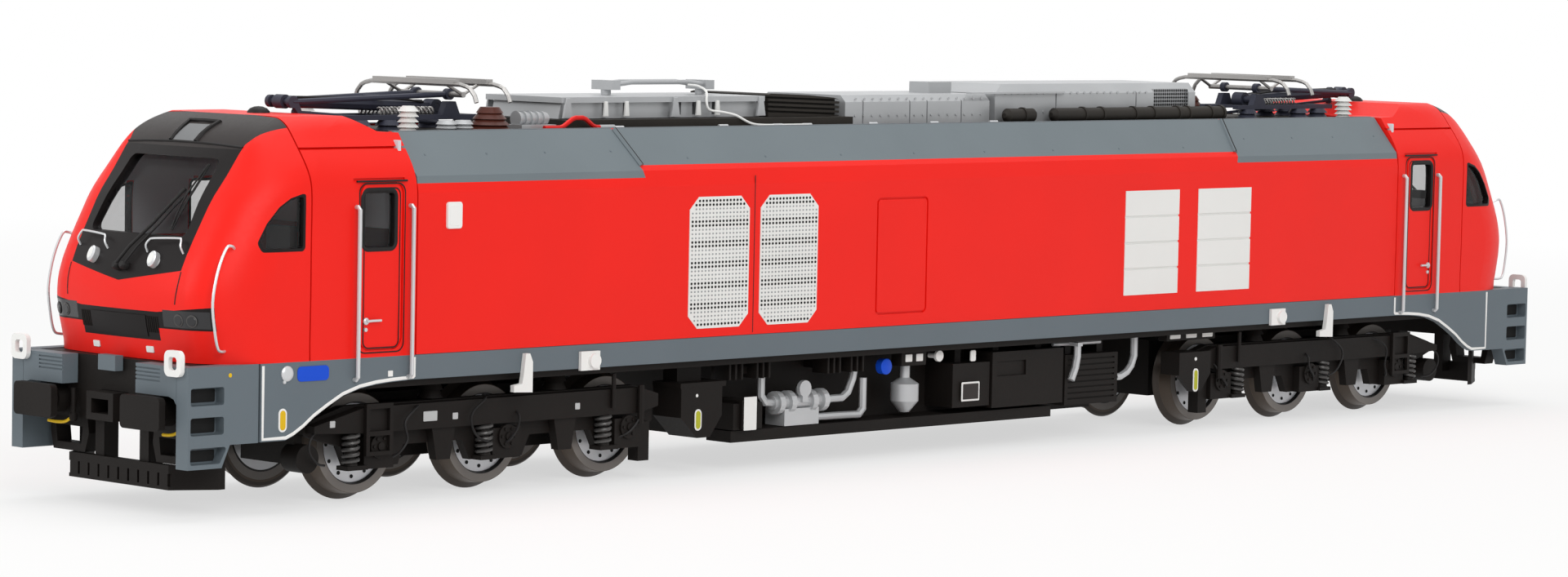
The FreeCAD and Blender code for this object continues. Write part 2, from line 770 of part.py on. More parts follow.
save("ploughs", both_ends([difference(union([plough] + hangers), plough_grooves)]))

# Machine room: two side walls that lean in above the shoulder, and the grey roof edge panels on them
room_end = cab_rear_x - panel_gap
panel_skin = 0.4
wall_base = sill_top + seat_gap
wall_lean = math.atan2(half_width - eave_inset - shoulder_top_half, shoulder_top - shoulder_base)
wall_tip_share = 0.4


def room(share):
    """A place along the machine room as a share of its half length."""
    return room_end * share


def room_span(shares):
    return (room(shares[0]), room(shares[1]))


def wall_outline(inset):
    slide = inset / math.cos(wall_lean)
    return [
        (half_width - inset, wall_base),
        (half_width - inset, wall_top),
        (half_width - eave_inset - inset, shoulder_base),
        (shoulder_top_half - slide + inset * wall_tip_share, shoulder_top),
    ]


def wall_layer(inner):
    return prism("x", wall_outline(0) + list(reversed(wall_outline(inner))), (-room_end, room_end))


panel_strip = wall_layer(panel_skin)
panel_end_z_share = 0.565
panel_mid_z_share = 0.645
panel_split_share = 0.607
panel_seam = 0.2
panel_lean_share = 0.3
eave_span = (wall_top, shoulder_top)
panel_top = shoulder_top + cut_over
panel_end_z = between((wall_top, shoulder_base), panel_end_z_share)
panel_mid_z = shoulder_base + panel_mid_z_share
panel_split = room(panel_split_share)


def panel_region(x_low, x_high, z, lean_low, lean_high):
    """The area of one roof edge panel seen from the side."""
    rise = panel_top - z
    outline = [(x_low, z), (x_high, z), (x_high + lean_high * rise, panel_top), (x_low + lean_low * rise, panel_top)]
    return prism("y", outline, (0, half_width + cut_over))


panel_regions = [
    panel_region(-room_end, -panel_split - panel_seam, panel_end_z, 0, -panel_lean_share),
    panel_region(-panel_split, panel_split, panel_mid_z, -panel_lean_share, panel_lean_share),
    panel_region(panel_split + panel_seam, room_end, panel_end_z, panel_lean_share, 0),
]
panels = [panel_strip.common(region) for region in panel_regions]
wall = difference(wall_layer(shell_wall), panels)

# Grilles and louvre panels are let into the walls
grille_x_shares = ((-0.530, -0.419), (-0.398, -0.288))
grille_z_shares = (0.06, 0.925)
grille_chamfer = 1.6
inlay_depth = 0.5
inlay_proud = 0.1
louvre_x_shares = ((0.352, 0.473), (0.517, 0.640))
louvre_z_shares = (0.12, 0.875)
louvre_rows = 4
louvre_rail = 0.3
hatch_x_shares = (-0.170, -0.070)
hatch_z_shares = (0.09, 0.875)
hatch_corner = 0.6
wall_span = (sill_top, wall_top)
grille_z = part_of(wall_span, grille_z_shares)
louvre_z = part_of(wall_span, louvre_z_shares)


def octagon(x, z, chamfer):
    return [
        (x[0] + chamfer, z[0]), (x[1] - chamfer, z[0]), (x[1], z[0] + chamfer), (x[1], z[1] - chamfer),
        (x[1] - chamfer, z[1]), (x[0] + chamfer, z[1]), (x[0], z[1] - chamfer), (x[0], z[0] + chamfer),
    ]


inlay_reach = (-half_width - inlay_proud, -half_width + inlay_depth)
grille_plates = [prism("y", octagon(room_span(x), grille_z, grille_chamfer), inlay_reach) for x in grille_x_shares]
louvre_plates = [prism("y", rectangle(room_span(x), louvre_z), inlay_reach) for x in louvre_x_shares]
louvre_rail_shares = [(i + 1) / louvre_rows for i in range(louvre_rows - 1)]
louvre_grooves = [
    box(
        grown(room_span(x), cut_over), (-half_width - cut_over, -half_width + seat_gap),
        grown((between(louvre_z, share), between(louvre_z, share)), louvre_rail / 2)
    ) for x in louvre_x_shares for share in louvre_rail_shares
]
hatch_ring = mirrored(groove(room_span(hatch_x_shares), part_of(wall_span, hatch_z_shares), hatch_corner, door_groove_depth, half_width))
wall_cuts = grille_plates + louvre_plates + [hatch_ring]
right_wall = difference(mirrored(wall), wall_cuts)
save("machine_room_walls", [right_wall, turned_round(right_wall)])
save("roof_edge_panels", both_sides(panels))
save("side_grilles", both_ends(grille_plates))
save("side_louvres", both_ends([difference(plate, louvre_grooves) for plate in louvre_plates]))

# Roof deck between the walls, standing on two cross bulkheads, with a raised black plinth under the fans
deck_thickness = 0.8
deck_drop = 0.3
deck_inset = 1.1
bulkhead_x_share = 0.624
bulkhead_skin = 0.8
bulkhead_gap = 0.25
plinth_height = 1.25
plinth_half_share = 0.87
roof_setback = 4.8
roof_reach = bogie_x - roof_setback
deck_z = (shoulder_top - deck_drop - deck_thickness, shoulder_top - deck_drop)
deck_half = shoulder_top_half - deck_inset
deck_top = deck_z[1] + seat_gap
bulkhead_half = half_width - shell_wall - bulkhead_gap
bulkhead_x = room(bulkhead_x_share)
bulkhead_outline = [
    (-bulkhead_half, wall_base), (bulkhead_half, wall_base), (bulkhead_half, wall_top), (deck_half, deck_z[0]),
    (-deck_half, deck_z[0]), (-bulkhead_half, wall_top),
]


def roof(share):
    """A place along the roof between the pantographs, as a share of its half length."""
    return roof_reach * share


def roof_span(shares):
    return (roof(shares[0]), roof(shares[1]))


plinth_x_shares = (-0.883, -0.186)
plinth_half = deck_half * plinth_half_share
plinth_top = deck_z[1] + plinth_height
bulkhead = prism("x", bulkhead_outline, (bulkhead_x, bulkhead_x + bulkhead_skin))
save("roof_deck", [union([
    box((-room_end, room_end), (-deck_half, deck_half), deck_z),
    box(roof_span(plinth_x_shares), (-plinth_half, plinth_half), (deck_z[0], plinth_top)),
    bulkhead, turned_round(bulkhead),
])])

# Fan hoods: a long cap on tapered boxes, open between them
fan_x_shares = (-0.862, -0.376)
fan_half = 7.0
fan_body_half = 6.2
fan_cap = 0.7
fan_height = 2.7
fan_lean = 0.5
# Share of the cap's length, and whether an end of the box leans
fan_box_shares = ((0.02, 0.215, 1, 0), (0.233, 0.315, 0, 0), (0.33, 0.565, 0, 1), (0.60, 0.655, 0, 0), (0.675, 0.753, 0, 0), (0.77, 0.98, 0, 1))
fan_span = roof_span(fan_x_shares)
fan_base = plinth_top + seat_gap
fan_z = (fan_base, fan_base + fan_height)
fans = [box(fan_span, (-fan_half, fan_half), (fan_z[1] - fan_cap, fan_z[1]))]
for start, end, lean_start, lean_end in fan_box_shares:
    x = part_of(fan_span, (start, end))
    fans.append(prism("y", [
        (x[0] - fan_lean * lean_start, fan_z[0]), (x[1] + fan_lean * lean_end, fan_z[0]),
        (x[1], fan_z[1] - fan_cap), (x[0], fan_z[1] - fan_cap),
    ], (-fan_body_half, fan_body_half)))
fan_sill = 0.35
fans.append(box(part_of(fan_span, (fan_box_shares[0][0], fan_box_shares[-1][1])), (-fan_body_half, fan_body_half), (fan_z[0], fan_z[0] + fan_sill)))
save("fan_hoods", [union(fans)])

# Busbars over the fans: two bowed bars between end blocks
busbar_x_shares = (-0.670, -0.443)
busbar_y = 1.2
busbar_rise = 1.25
busbar_bow = 0.35
busbar_radius = 0.3
busbar_foot = 0.7
busbar_block = (0.75, 1.9, 0.6)
busbar_base = fan_z[1] + seat_gap
busbar_z = busbar_base + busbar_rise
busbar_span = roof_span(busbar_x_shares)
busbar_bend_shares = (0.2, 0.8)
busbars = []
for y in (-busbar_y, busbar_y):
    bends = [(between(busbar_span, share), y, busbar_z + busbar_bow) for share in busbar_bend_shares]
    busbars.append(rod([(busbar_span[0], y, busbar_z)] + bends + [(busbar_span[1], y, busbar_z)], busbar_radius))
for x in busbar_span:
    busbars.append(bar("z", (x, 0), busbar_foot, (busbar_base, busbar_z)))
    busbars.append(box(grown((x, x), busbar_block[0]), (-busbar_block[1], busbar_block[1]), grown((busbar_z, busbar_z), busbar_block[2])))
save("roof_busbars", [union(busbars)])

# Brake resistor bank: a stack of slanted black slats
resistor_x_shares = (-0.370, -0.19)
resistor_half = 7.2
resistor_height = 3.0
resistor_slats = 4
resistor_slot = 0.28
resistor_slot_depth = 0.8
resistor_shares = ((0, 0), (1, 0), (1, 0.72), (0.92, 0.80), (0.55, 0.92), (0.05, 1.0), (0, 0.95))
resistor_span = roof_span(resistor_x_shares)
resistor_z = (fan_base, fan_base + resistor_height)
resistor_slot_shares = [(i + 1) / (resistor_slats + 1) for i in range(resistor_slats)]
resistor_slope_share = 0.18
resistor_slots = []
for share in resistor_slot_shares:
    z = between(resistor_z, share)
    fall = resistor_height * resistor_slope_share
    for side in (-1, 1):
        resistor_slots.append(prism("y", [
            (resistor_span[0] - cut_over, z), (resistor_span[1] + cut_over, z - fall),
            (resistor_span[1] + cut_over, z - fall + resistor_slot), (resistor_span[0] - cut_over, z + resistor_slot),
        ], (side * (resistor_half - resistor_slot_depth), side * (resistor_half + cut_over))))
save("resistor_bank", [difference(
    prism("y", fitted(resistor_span, resistor_z, resistor_shares), (-resistor_half, resistor_half)), resistor_slots
)])

# Cooler and rear housing: silver boxes with rounded shoulders, seams and a mesh window
cooler_x_shares = (-0.180, 0.205)
cooler_half = 7.6
cooler_height = 3.95
cooler_shoulder = 0.9
cooler_seam_shares = (0.12, 0.44, 0.56, 0.80)
cooler_seam = 0.25
cooler_seam_depth = 0.2
cooler_block_shares = (0.79, 0.95)
cooler_block_half = 1.8
cooler_block_rise = 1.5
housing_gap = 0.15
housing_x_shares = (0.220, 0.800)
housing_half = 7.6
housing_height = 5.3
housing_chamfer = 1.3
housing_nose_share = 0.06
housing_seam_shares = (0.295, 0.695)
mesh_x_shares = (0.785, 0.965)
mesh_z_shares = (0.26, 0.86)
mesh_depth = 0.5
walk_x_shares = (-0.13, 0.32)
walk_width = 0.7
walk_thickness = 0.25


def roof_box(x, half, z, shoulder, nose=0):
    """A box with its long top edges cut off, and its +X-facing lead cut off too if it has a nose."""
    outline = [
        (-half, z[0]), (half, z[0]), (half, z[1] - shoulder), (half - shoulder, z[1]), (-half + shoulder, z[1]),
        (-half, z[1] - shoulder),
    ]
    shape = prism("x", outline, x)
    if nose:
        wedge = prism("y", [
            (x[0] - cut_over, z[1] - shoulder), (x[0], z[1] - shoulder), (x[0] + nose, z[1]), (x[0] + nose, z[1] + cut_over),
            (x[0] - cut_over, z[1] + cut_over),
        ], (-half - cut_over, half + cut_over))
        shape = shape.cut(wedge)
    return shape


def seams(x, half, z, shares):
    cuts = []
    for share in shares:
        at_seam = between(x, share)
        cuts += both_sides([box(
            grown((at_seam, at_seam), cooler_seam / 2), (half - cooler_seam_depth, half + cut_over), (z[0] - cut_over, z[1])
        )])
    return cuts


cooler_x = roof_span(cooler_x_shares)
cooler_z = (deck_top, deck_top + cooler_height)
cooler = difference(roof_box(cooler_x, cooler_half, cooler_z, cooler_shoulder), seams(cooler_x, cooler_half, cooler_z, cooler_seam_shares))
cooler = union([cooler, box(part_of(cooler_x, cooler_block_shares), (-cooler_block_half, cooler_block_half), (cooler_z[1] - seat_gap, cooler_z[1] + cooler_block_rise))])
save("roof_cooler", [cooler])
housing_x = roof_span(housing_x_shares)
housing_z = (deck_top, deck_top + housing_height)
housing = roof_box(housing_x, housing_half, housing_z, housing_chamfer, (housing_x[1] - housing_x[0]) * housing_nose_share)
mesh_recess = both_sides([box(part_of(housing_x, mesh_x_shares), (housing_half - mesh_depth, housing_half + cut_over), part_of(housing_z, mesh_z_shares))])
walk_z = cooler_z[1] + housing_chamfer / 2
housing = difference(housing, seams(housing_x, housing_half, housing_z, housing_seam_shares) + mesh_recess)
walk = box(part_of(housing_x, walk_x_shares), (-housing_half - walk_width, -housing_half + walk_thickness), (cooler_z[1] + seat_gap, cooler_z[1] + seat_gap + walk_thickness))
save("roof_housing", [union([housing, walk])])

# Air cylinders along the roof edge, each a black tube with domed ends held by straps
tube_y_share = 0.58
tube_radius = 0.95
tube_x_shares = ((0.215, 0.300), (0.346, 0.856))
tube_dome = 0.6
strap_x_shares = (0.431, 0.4836, 0.577, 0.632, 0.706, 0.737, 0.804, 0.840)
strap_width = 0.45
strap_stand = 0.15
tube_y = -half_width * tube_y_share
tube_z = deck_top + tube_radius + strap_stand
tubes = []
for pair in tube_x_shares:
    run = roof_span(pair)
    tubes.append(turned("x", (tube_y, tube_z), [
        (run[0], 0), (run[0], tube_radius - tube_dome), (run[0] + tube_dome, tube_radius), (run[1] - tube_dome, tube_radius),
        (run[1], tube_radius - tube_dome), (run[1], 0),
    ]))
strap_places = [roof(share) for share in strap_x_shares] + [roof(between(tube_x_shares[0], mesh_z_shares[1] / 2 + cooler_seam_shares[0]))]
for x in strap_places:
    tubes.append(cylinder("x", (tube_y, tube_z), tube_radius + strap_stand, (x, x + strap_width)))
    tubes.append(box((x, x + strap_width), grown((tube_y, tube_y), tube_radius / 2), (deck_top, tube_z)))
save("air_cylinders", [union(tubes)])


def insulator(axis, centre, span, radius, sheds, core_share, top_share=1):
    """A stack of round sheds on a core, each a flat cone, narrowing towards its top by a share."""
    start, end = span
    pitch = (end - start) / sheds
    outline = [(start, 0)]
    for i in range(sheds):
        base = start + i * pitch
        shed = radius * (1 - (1 - top_share) * i / sheds)
        outline += [(base, shed), (base + pitch, shed * core_share)]
    outline.append((end, 0))
    return turned(axis, centre, outline)


# Insulators on the roof, placed from the pantograph's shoulder
shoulder_offset = 0.2
shoulder_x = -bogie_x - shoulder_offset
roof_side_share = 0.576
white_radius = 1.3
white_height = 3.2
silver_radius = 1.3
silver_height = 1.4
brown_radius = 2.9
brown_height = 2.9
brown_top_share = 0.45
white_core_share = 0.55
white_sheds = 5
silver_sheds = 3
brown_sheds = 4
insulator_core_share = 0.7
white_offset = -12.3
silver_offsets = (-6.15, -3.45)
brown_offset = 2.5
side_y = half_width * roof_side_share
brown_y_share = 0.47
brown_y = half_width * brown_y_share
white = insulator("z", (shoulder_x + white_offset, -side_y), (deck_top, deck_top + white_height), white_radius, white_sheds, white_core_share)
silvers = [
    insulator("z", (shoulder_x + offset, -side_y), (deck_top, deck_top + silver_height), silver_radius, silver_sheds, insulator_core_share)
    for offset in silver_offsets
]
brown = insulator("z", (shoulder_x + brown_offset, -brown_y), (deck_top, deck_top + brown_height), brown_radius, brown_sheds, insulator_core_share, brown_top_share)
save("white_insulators", both_ends([white, mirrored(white)]))
save("brown_insulators", both_ends([brown]))
# Main circuit breaker: a ribbed drum on a foot with a red cable, and the silver insulators beside it
breaker_offset = (6.4, 12.2)
breaker_foot_height = 0.7
breaker_foot_half = 1.6
drum_radius = 1.0
drum_ribs = 5
drum_core_share = 0.75
drum_end = 0.4
breaker_x = (shoulder_x + breaker_offset[0], shoulder_x + breaker_offset[1])
drum_x = grown(breaker_x, -drum_end)
drum_z = deck_top + breaker_foot_height + drum_radius * insulator_core_share
breaker = union([
    box(breaker_x, grown((-brown_y, -brown_y), breaker_foot_half), (deck_top, deck_top + breaker_foot_height)),
    insulator("x", (-brown_y, drum_z), drum_x, drum_radius, drum_ribs, drum_core_share),
])
cable_radius = 0.3
cable_y = cable_radius + seat_gap - deck_half
cable_base = deck_top + cable_radius + seat_gap
cable_rise = 1.2
# Share of the roof's half length and share of the cable's rise
cable_shares = ((-0.945, 0), (-0.905, 0), (-0.878, 1), (-0.854, 1), (-0.83, 0), (-0.785, 0))
cable_route = [(roof(share), cable_y, cable_base + cable_rise * lift) for share, lift in cable_shares]
save("circuit_breaker", [breaker, rod(cable_route, cable_radius, cable_radius)] + both_ends(silvers))

# Pantographs: the one at cab 2 folds towards its cab. Everything is drawn there and turned half round for the other
arm_length = 24.0
arm_start_angle = math.radians(2.0)
shoulder_rise_above_deck = 2.65
shoulder_z = deck_top + shoulder_rise_above_deck
knee_x = shoulder_x - arm_length * math.cos(arm_start_angle)
knee_z = shoulder_z + arm_length * math.sin(arm_start_angle)
head_x = shoulder_x
head_z = shoulder_z + 2 * arm_length * math.sin(arm_start_angle)
# The control rod runs below the lower arm from its own foot to a heel on the upper arm
control_foot_share = 3.98 / 24
control_drop_share = 2.2 / 24
heel_share = 1.12 / 24
heel_drop_share = 1.25 / 24
control_foot = (shoulder_x + arm_length * control_foot_share, shoulder_z - arm_length * control_drop_share)
heel = (knee_x + arm_length * heel_share, knee_z - arm_length * heel_drop_share)
bearing_fit = 0.05
lower_tube = 0.72
shoulder_pin = 0.5
shoulder_barrel = 1.0
shoulder_barrel_half = 0.9
knee_pin = 0.4
knee_barrel = 0.85
knee_barrel_half = 0.8
bore_reach = (-half_width, half_width)
lower_arm = difference(union([
    rod([(shoulder_x, 0, shoulder_z), (knee_x, 0, knee_z)], lower_tube),
    cylinder("y", (shoulder_x, shoulder_z), shoulder_barrel, (-shoulder_barrel_half, shoulder_barrel_half)),
    cylinder("y", (knee_x, knee_z), knee_barrel, (-knee_barrel_half, knee_barrel_half)),
]), [
    cylinder("y", (shoulder_x, shoulder_z), shoulder_pin + bearing_fit, bore_reach),
    cylinder("y", (knee_x, knee_z), knee_pin + bearing_fit, bore_reach),
])
lug_y = (1.65, 2.25)
lug_radius = 0.75
upper_tube = 0.35
upper_spread = 3.0
head_barrel = 0.7
head_barrel_half = 0.4
head_pin = 0.35
heel_pin = 0.2
control_y = (-1.5, -1.0)
pin_overhang = 0.1
heel_wall = 0.35
cross_brace_share = 0.62
cross_brace_radius = 0.25
lug_middle = (lug_y[0] + lug_y[1]) / 2
upper_arm_pieces = [cylinder("y", (knee_x, knee_z), knee_pin, (-lug_y[1], lug_y[1]))]
for side in (-1, 1):
    spread = grown((side * upper_spread, side * upper_spread), head_barrel_half)
    upper_arm_pieces += [
        cylinder("y", (knee_x, knee_z), lug_radius, (side * lug_y[0], side * lug_y[1])),
        rod([(knee_x, side * lug_middle, knee_z), (head_x, side * upper_spread, head_z)], upper_tube),
        cylinder("y", (head_x, head_z), head_barrel, spread),
    ]
upper_arm_pieces.append(prism("y", [
    (knee_x - heel_wall, knee_z), (heel[0] - heel_wall, heel[1] - heel_pin), (heel[0] + heel_wall, heel[1] - heel_pin),
    (knee_x + lug_radius, knee_z),
], (-lug_y[1], -lug_y[0])))
upper_arm_pieces.append(cylinder("y", heel, heel_pin, (-lug_middle, control_y[1] + pin_overhang)))
brace_y = between((lug_middle, upper_spread), cross_brace_share)
upper_arm_pieces.append(bar(
    "y", (between((knee_x, head_x), cross_brace_share), between((knee_z, head_z), cross_brace_share)),
    cross_brace_radius, (-brace_y, brace_y)
))
upper_arm = difference(union(upper_arm_pieces), [cylinder("y", (head_x, head_z), head_pin + bearing_fit, bore_reach)])
control_tube = 0.22
control_eye = 0.45
foot_pin = 0.2
control_middle = (control_y[0] + control_y[1]) / 2
control_rod = difference(union([
    rod([(control_foot[0], control_middle, control_foot[1]), (heel[0], control_middle, heel[1])], control_tube),
    cylinder("y", control_foot, control_eye, control_y),
    cylinder("y", heel, control_eye, control_y),
]), [
    cylinder("y", control_foot, foot_pin + bearing_fit, grown(control_y, cut_over)),
    cylinder("y", heel, heel_pin + bearing_fit, grown(control_y, cut_over)),
])

# Head: two bowed collector bars with horns at both ends, on struts from the head pin
strip_offset = 2.75
strip_half_share = 0.445
strip_rise = 1.93
strip_height = 0.6
strip_width = 1.1
strip_tube = 0.28
horn_tip_share = 0.673
horn_shoulder_share = 0.637
horn_bend_share = 0.53
horn_drop = 2.1
horn_shoulder_drop = 0.7
strut_y_share = 0.336
strut_tube = 0.22
strip_z = head_z + strip_rise - strip_height
strip_half = half_width * strip_half_share
strut_y = half_width * strut_y_share
horn = [
    (half_width * horn_tip_share, strip_z - horn_drop), (half_width * horn_shoulder_share, strip_z - horn_shoulder_drop),
    (half_width * horn_bend_share, strip_z),
]
horn_bend = 0.6
head_pieces = [cylinder("y", (head_x, head_z), head_pin, grown((-strut_y, strut_y), strut_tube))]
for x in (head_x - strip_offset, head_x + strip_offset):
    head_pieces.append(rod([(x, -y, z) for y, z in horn] + [(x, y, z) for y, z in reversed(horn)], strip_tube, horn_bend))
    head_pieces.append(box(grown((x, x), strip_width / 2), (-strip_half, strip_half), (strip_z, strip_z + strip_height)))
    for y in (-strut_y, strut_y):
        head_pieces.append(rod([(head_x, y, head_z), (x, y, strip_z)], strut_tube))
head = union(head_pieces)

# Base frame: beams, cross members and insulators, with the shoulder pin between two cheeks
base_beam_y = (2.6, 3.6)
base_beam_rise = 1.25
base_beam_height = 0.6
base_beam_offsets = (-17.5, 5.0)
base_cross_offsets = (-16.7, -8.0, 4.0)
base_cross_half = 0.6
cheek_half = 1.7
cheek_top_half = 0.7
cheek_rise = 0.8
bracket_half = 0.5
bracket_gap = 0.2
bracket_width = 0.6
base_foot_offsets = (-14.5, -9.9, 2.2)
base_foot_y = 3.1
base_foot_radius = 1.5
base_foot_sheds = 2
rod_space = 0.15
rod_room = 0.9
base_beam_z = (deck_top + base_beam_rise, deck_top + base_beam_rise + base_beam_height)
# The shoulder pin stands out from one cheek only, because the control rod swings up past its free end
base_pieces = [cylinder("y", (shoulder_x, shoulder_z), shoulder_pin, (-shoulder_barrel_half, base_beam_y[0]))]
for side in (-1, 1):
    beam_span_y = (side * base_beam_y[0], side * base_beam_y[1])
    base_pieces.append(box((shoulder_x + base_beam_offsets[0], shoulder_x + base_beam_offsets[1]), beam_span_y, base_beam_z))
    base_pieces.append(prism("y", [
        (shoulder_x - cheek_half, base_beam_z[0]), (shoulder_x + cheek_half, base_beam_z[0]),
        (shoulder_x + cheek_top_half, shoulder_z + cheek_rise), (shoulder_x - cheek_top_half, shoulder_z + cheek_rise),
    ], beam_span_y))
for offset in base_cross_offsets:
    base_pieces.append(box(
        grown((shoulder_x + offset, shoulder_x + offset), base_cross_half), (-base_beam_y[1], base_beam_y[1]),
        (base_beam_z[0] + bracket_gap, base_beam_z[1])
    ))
bracket_outer = control_y[0] - bracket_gap
foot_bracket_y = (bracket_outer - bracket_width, bracket_outer)
base_pieces.append(box(
    grown((control_foot[0], control_foot[0]), bracket_half), foot_bracket_y, (control_foot[1] - bracket_half, base_beam_z[1])
))
for offset in base_foot_offsets:
    for y in (-base_foot_y, base_foot_y):
        base_pieces.append(insulator("z", (shoulder_x + offset, y), (deck_top, base_beam_z[0]), base_foot_radius, base_foot_sheds, insulator_core_share))
foot_pin_piece = cylinder("y", control_foot, foot_pin, (foot_bracket_y[0], control_y[1] + pin_overhang))
control_room = prism("y", [
    (control_foot[0] + rod_room, control_foot[1] - rod_room), (control_foot[0] + rod_room, control_foot[1] + rod_room),
    (heel[0] - rod_room, heel[1] + rod_room), (heel[0] - rod_room, heel[1] - rod_room),
], grown(control_y, rod_space))
base = union(base_pieces).cut(control_room).fuse(foot_pin_piece)
for number, turn in ((2, lambda shape: shape), (1, turned_round)):
    save("pantograph_base_%d" % number, [turn(base)])
    save("pantograph_lower_arm_%d" % number, [turn(lower_arm)])
    save("pantograph_upper_arm_%d" % number, [turn(upper_arm)])
    save("pantograph_control_rod_%d" % number, [turn(control_rod)])
    save("pantograph_head_%d" % number, [turn(head)])

# Handrails beside the doors and on the nose, and the windscreen wipers
rail_radius = 0.26
rail_out = 0.75
rail_bend = 0.4
door_rail_shares = (0.07, 0.585)
door_rail_low = 2.5
door_rail_top_share = 0.63
door_rail_z = (sill_top - door_rail_low, cab_z(door_rail_top_share))
rail_touch = half_width + seat_gap
door_rails = []
for share in door_rail_shares:
    x = between(door_section_x, share)
    door_rails.append(rod([
        (x, rail_touch, door_rail_z[0]), (x, half_width + rail_out, door_rail_z[0]),
        (x, half_width + rail_out, door_rail_z[1]), (x, rail_touch, door_rail_z[1]),
    ], rail_radius, rail_bend))
save("door_handrails", both_ends(both_sides(door_rails)))


def front_x(y, z):
    """Where the nose surface stands at one height and distance from the middle."""
    line = Part.LineSegment(Vector(nose_seam_x, y, z), Vector(half_length + nose_setback, y, z)).toShape()
    return full_form.common(line).BoundBox.XMax


def front_point(y_share, z_share, stand):
    """A point in front of the nose surface, at shares of the half width and the cab height."""
    y = cab_y(y_share)
    z = cab_z(z_share)
    return (front_x(y, z) + stand, y, z)


corner_rail_y_share = 0.90
corner_rail_z_shares = (0.055, 0.25, 0.47)
screen_rail_y_shares = (0.27, 0.56)
screen_rail_z_shares = (0.445, 0.495)
corner_stand = stand_gap + rail_radius
corner_rail = rod(
    [front_point(corner_rail_y_share, corner_rail_z_shares[0], corner_stand)]
    + [front_point(corner_rail_y_share, share, corner_stand + rail_out) for share in corner_rail_z_shares]
    + [front_point(corner_rail_y_share, corner_rail_z_shares[2], corner_stand)], rail_radius, rail_bend)
screen_rail_thin = 0.2
screen_rail = rod([
    front_point(screen_rail_y_shares[0], screen_rail_z_shares[0], stand_gap),
    front_point(screen_rail_y_shares[0], screen_rail_z_shares[1], rail_out),
    front_point(screen_rail_y_shares[1], screen_rail_z_shares[1], rail_out),
    front_point(screen_rail_y_shares[1], screen_rail_z_shares[0], stand_gap),
], screen_rail_thin, rail_bend)
save("front_handrails", both_ends(both_sides([corner_rail, screen_rail])))
wiper_stand = 0.8
wiper_radius = 0.2
wiper_boss = 0.4
wiper_point_shares = (((-0.07, 0.41), (-0.42, 0.71)), ((0.07, 0.385), (0.40, 0.725)))
wipers = []
for foot, tip in wiper_point_shares:
    middle = ((foot[0] + tip[0]) / 2, (foot[1] + tip[1]) / 2)
    arm = rod([front_point(*point, wiper_stand) for point in (foot, middle, tip)], wiper_radius)
    start = front_point(*foot, stand_gap)
    boss = bar("x", (start[1], start[2]), wiper_boss, (start[0], start[0] + wiper_stand))
    wipers.append(union([arm, boss]))
save("wipers", both_ends(wipers))

# Lifting hooks over the bogie centres, jack pads beside them and the loops on the beams, all white
hook_half = 1.7
hook_z_shares = (0.82, 1.155)
hook_shares = ((0, 0.03), (0.9, 0), (0.9, 0.78), (0.76, 1.0), (0.56, 1.0), (0.46, 0.45), (0.40, 0.24), (0, 0.2))
hook_thickness = 0.65
pad_offset = 11.2
pad_half = 1.6
pad_z_shares = (0.975, 1.14)
pad_thickness = 0.45
pad_boss_radius = 0.9
pad_boss_out = 0.5
hook_y = (-half_width - seat_gap - hook_thickness, -half_width - seat_gap)
pad_y = (-half_width - seat_gap - pad_thickness, -half_width - seat_gap)
pad_z = low_span(pad_z_shares)
fixtures = []
for side in (-1, 1):
    hook_x = grown((side * bogie_x, side * bogie_x), hook_half)
    pad_x = side * (bogie_x - pad_offset)
    fixtures.append(prism("y", fitted(hook_x, low_span(hook_z_shares), hook_shares), hook_y))
    fixtures.append(union([
        box(grown((pad_x, pad_x), pad_half), pad_y, pad_z),
        bar("y", (pad_x + pad_thickness, (pad_z[0] + pad_z[1]) / 2), pad_boss_radius, (pad_y[0] - pad_boss_out, pad_y[1]), 2 * bar_sides),
    ]))
save("lifting_points", both_sides(fixtures) + both_ends(both_sides([beam_loop])))

# Underfloor equipment of one side. The same set turned half round serves the other side
equipment_top = plate_z[0] - seat_gap
equipment_inner = -tank_half - seat_gap
case_hanger_half = 0.6
case_hanger_y_share = 0.74


def out(share):
    """A place towards the visible side as a share of the half width."""
    return -half_width * share


def case(x_shares, z_shares, y_share, hanger_shares=()):
    """A box under the floor with its hangers."""
    z = low_span(z_shares)
    pieces = [box(under_span(x_shares), (equipment_inner, out(y_share)), z)]
    for share in hanger_shares:
        x = under(between(x_shares, share))
        pieces.append(box(grown((x, x), case_hanger_half), (equipment_inner, out(case_hanger_y_share)), (z[0], equipment_top)))
    return union(pieces)


sign_case_x_shares = (0.032, 0.1715)
sign_case_z_shares = (0.366, 0.782)
sign_case_y_share = 0.852
main_case_x_shares = (0.1775, 0.452)
main_case_z_shares = (0.338, 0.870)
main_case_y_share = 0.865
main_case_recess_shares = ((0.07, 0.47), (0.56, 0.83))
recess_depth = 0.3
louvre_case_x_shares = (0.473, 0.683)
louvre_case_z_shares = (0.299, 0.789)
louvre_case_y_share = 0.829
louvre_case_margin_share = 0.06
louvre_case_rows = 8
louvre_case_slot = 0.22
louvre_case_depth = 0.2
left_case_x_shares = (-0.745, -0.646)
left_case_z_shares = (0.318, 0.556)
left_case_y_share = 0.835
label_x_shares = (-0.724, -0.681)
label_z_shares = (0.325, 0.585)
label_y_share = 0.865
single_hanger_share = (0.4,)
double_hanger_shares = (0.2, 0.8)
sign_case = case(sign_case_x_shares, sign_case_z_shares, sign_case_y_share, single_hanger_share)
main_case = case(main_case_x_shares, main_case_z_shares, main_case_y_share, double_hanger_shares)
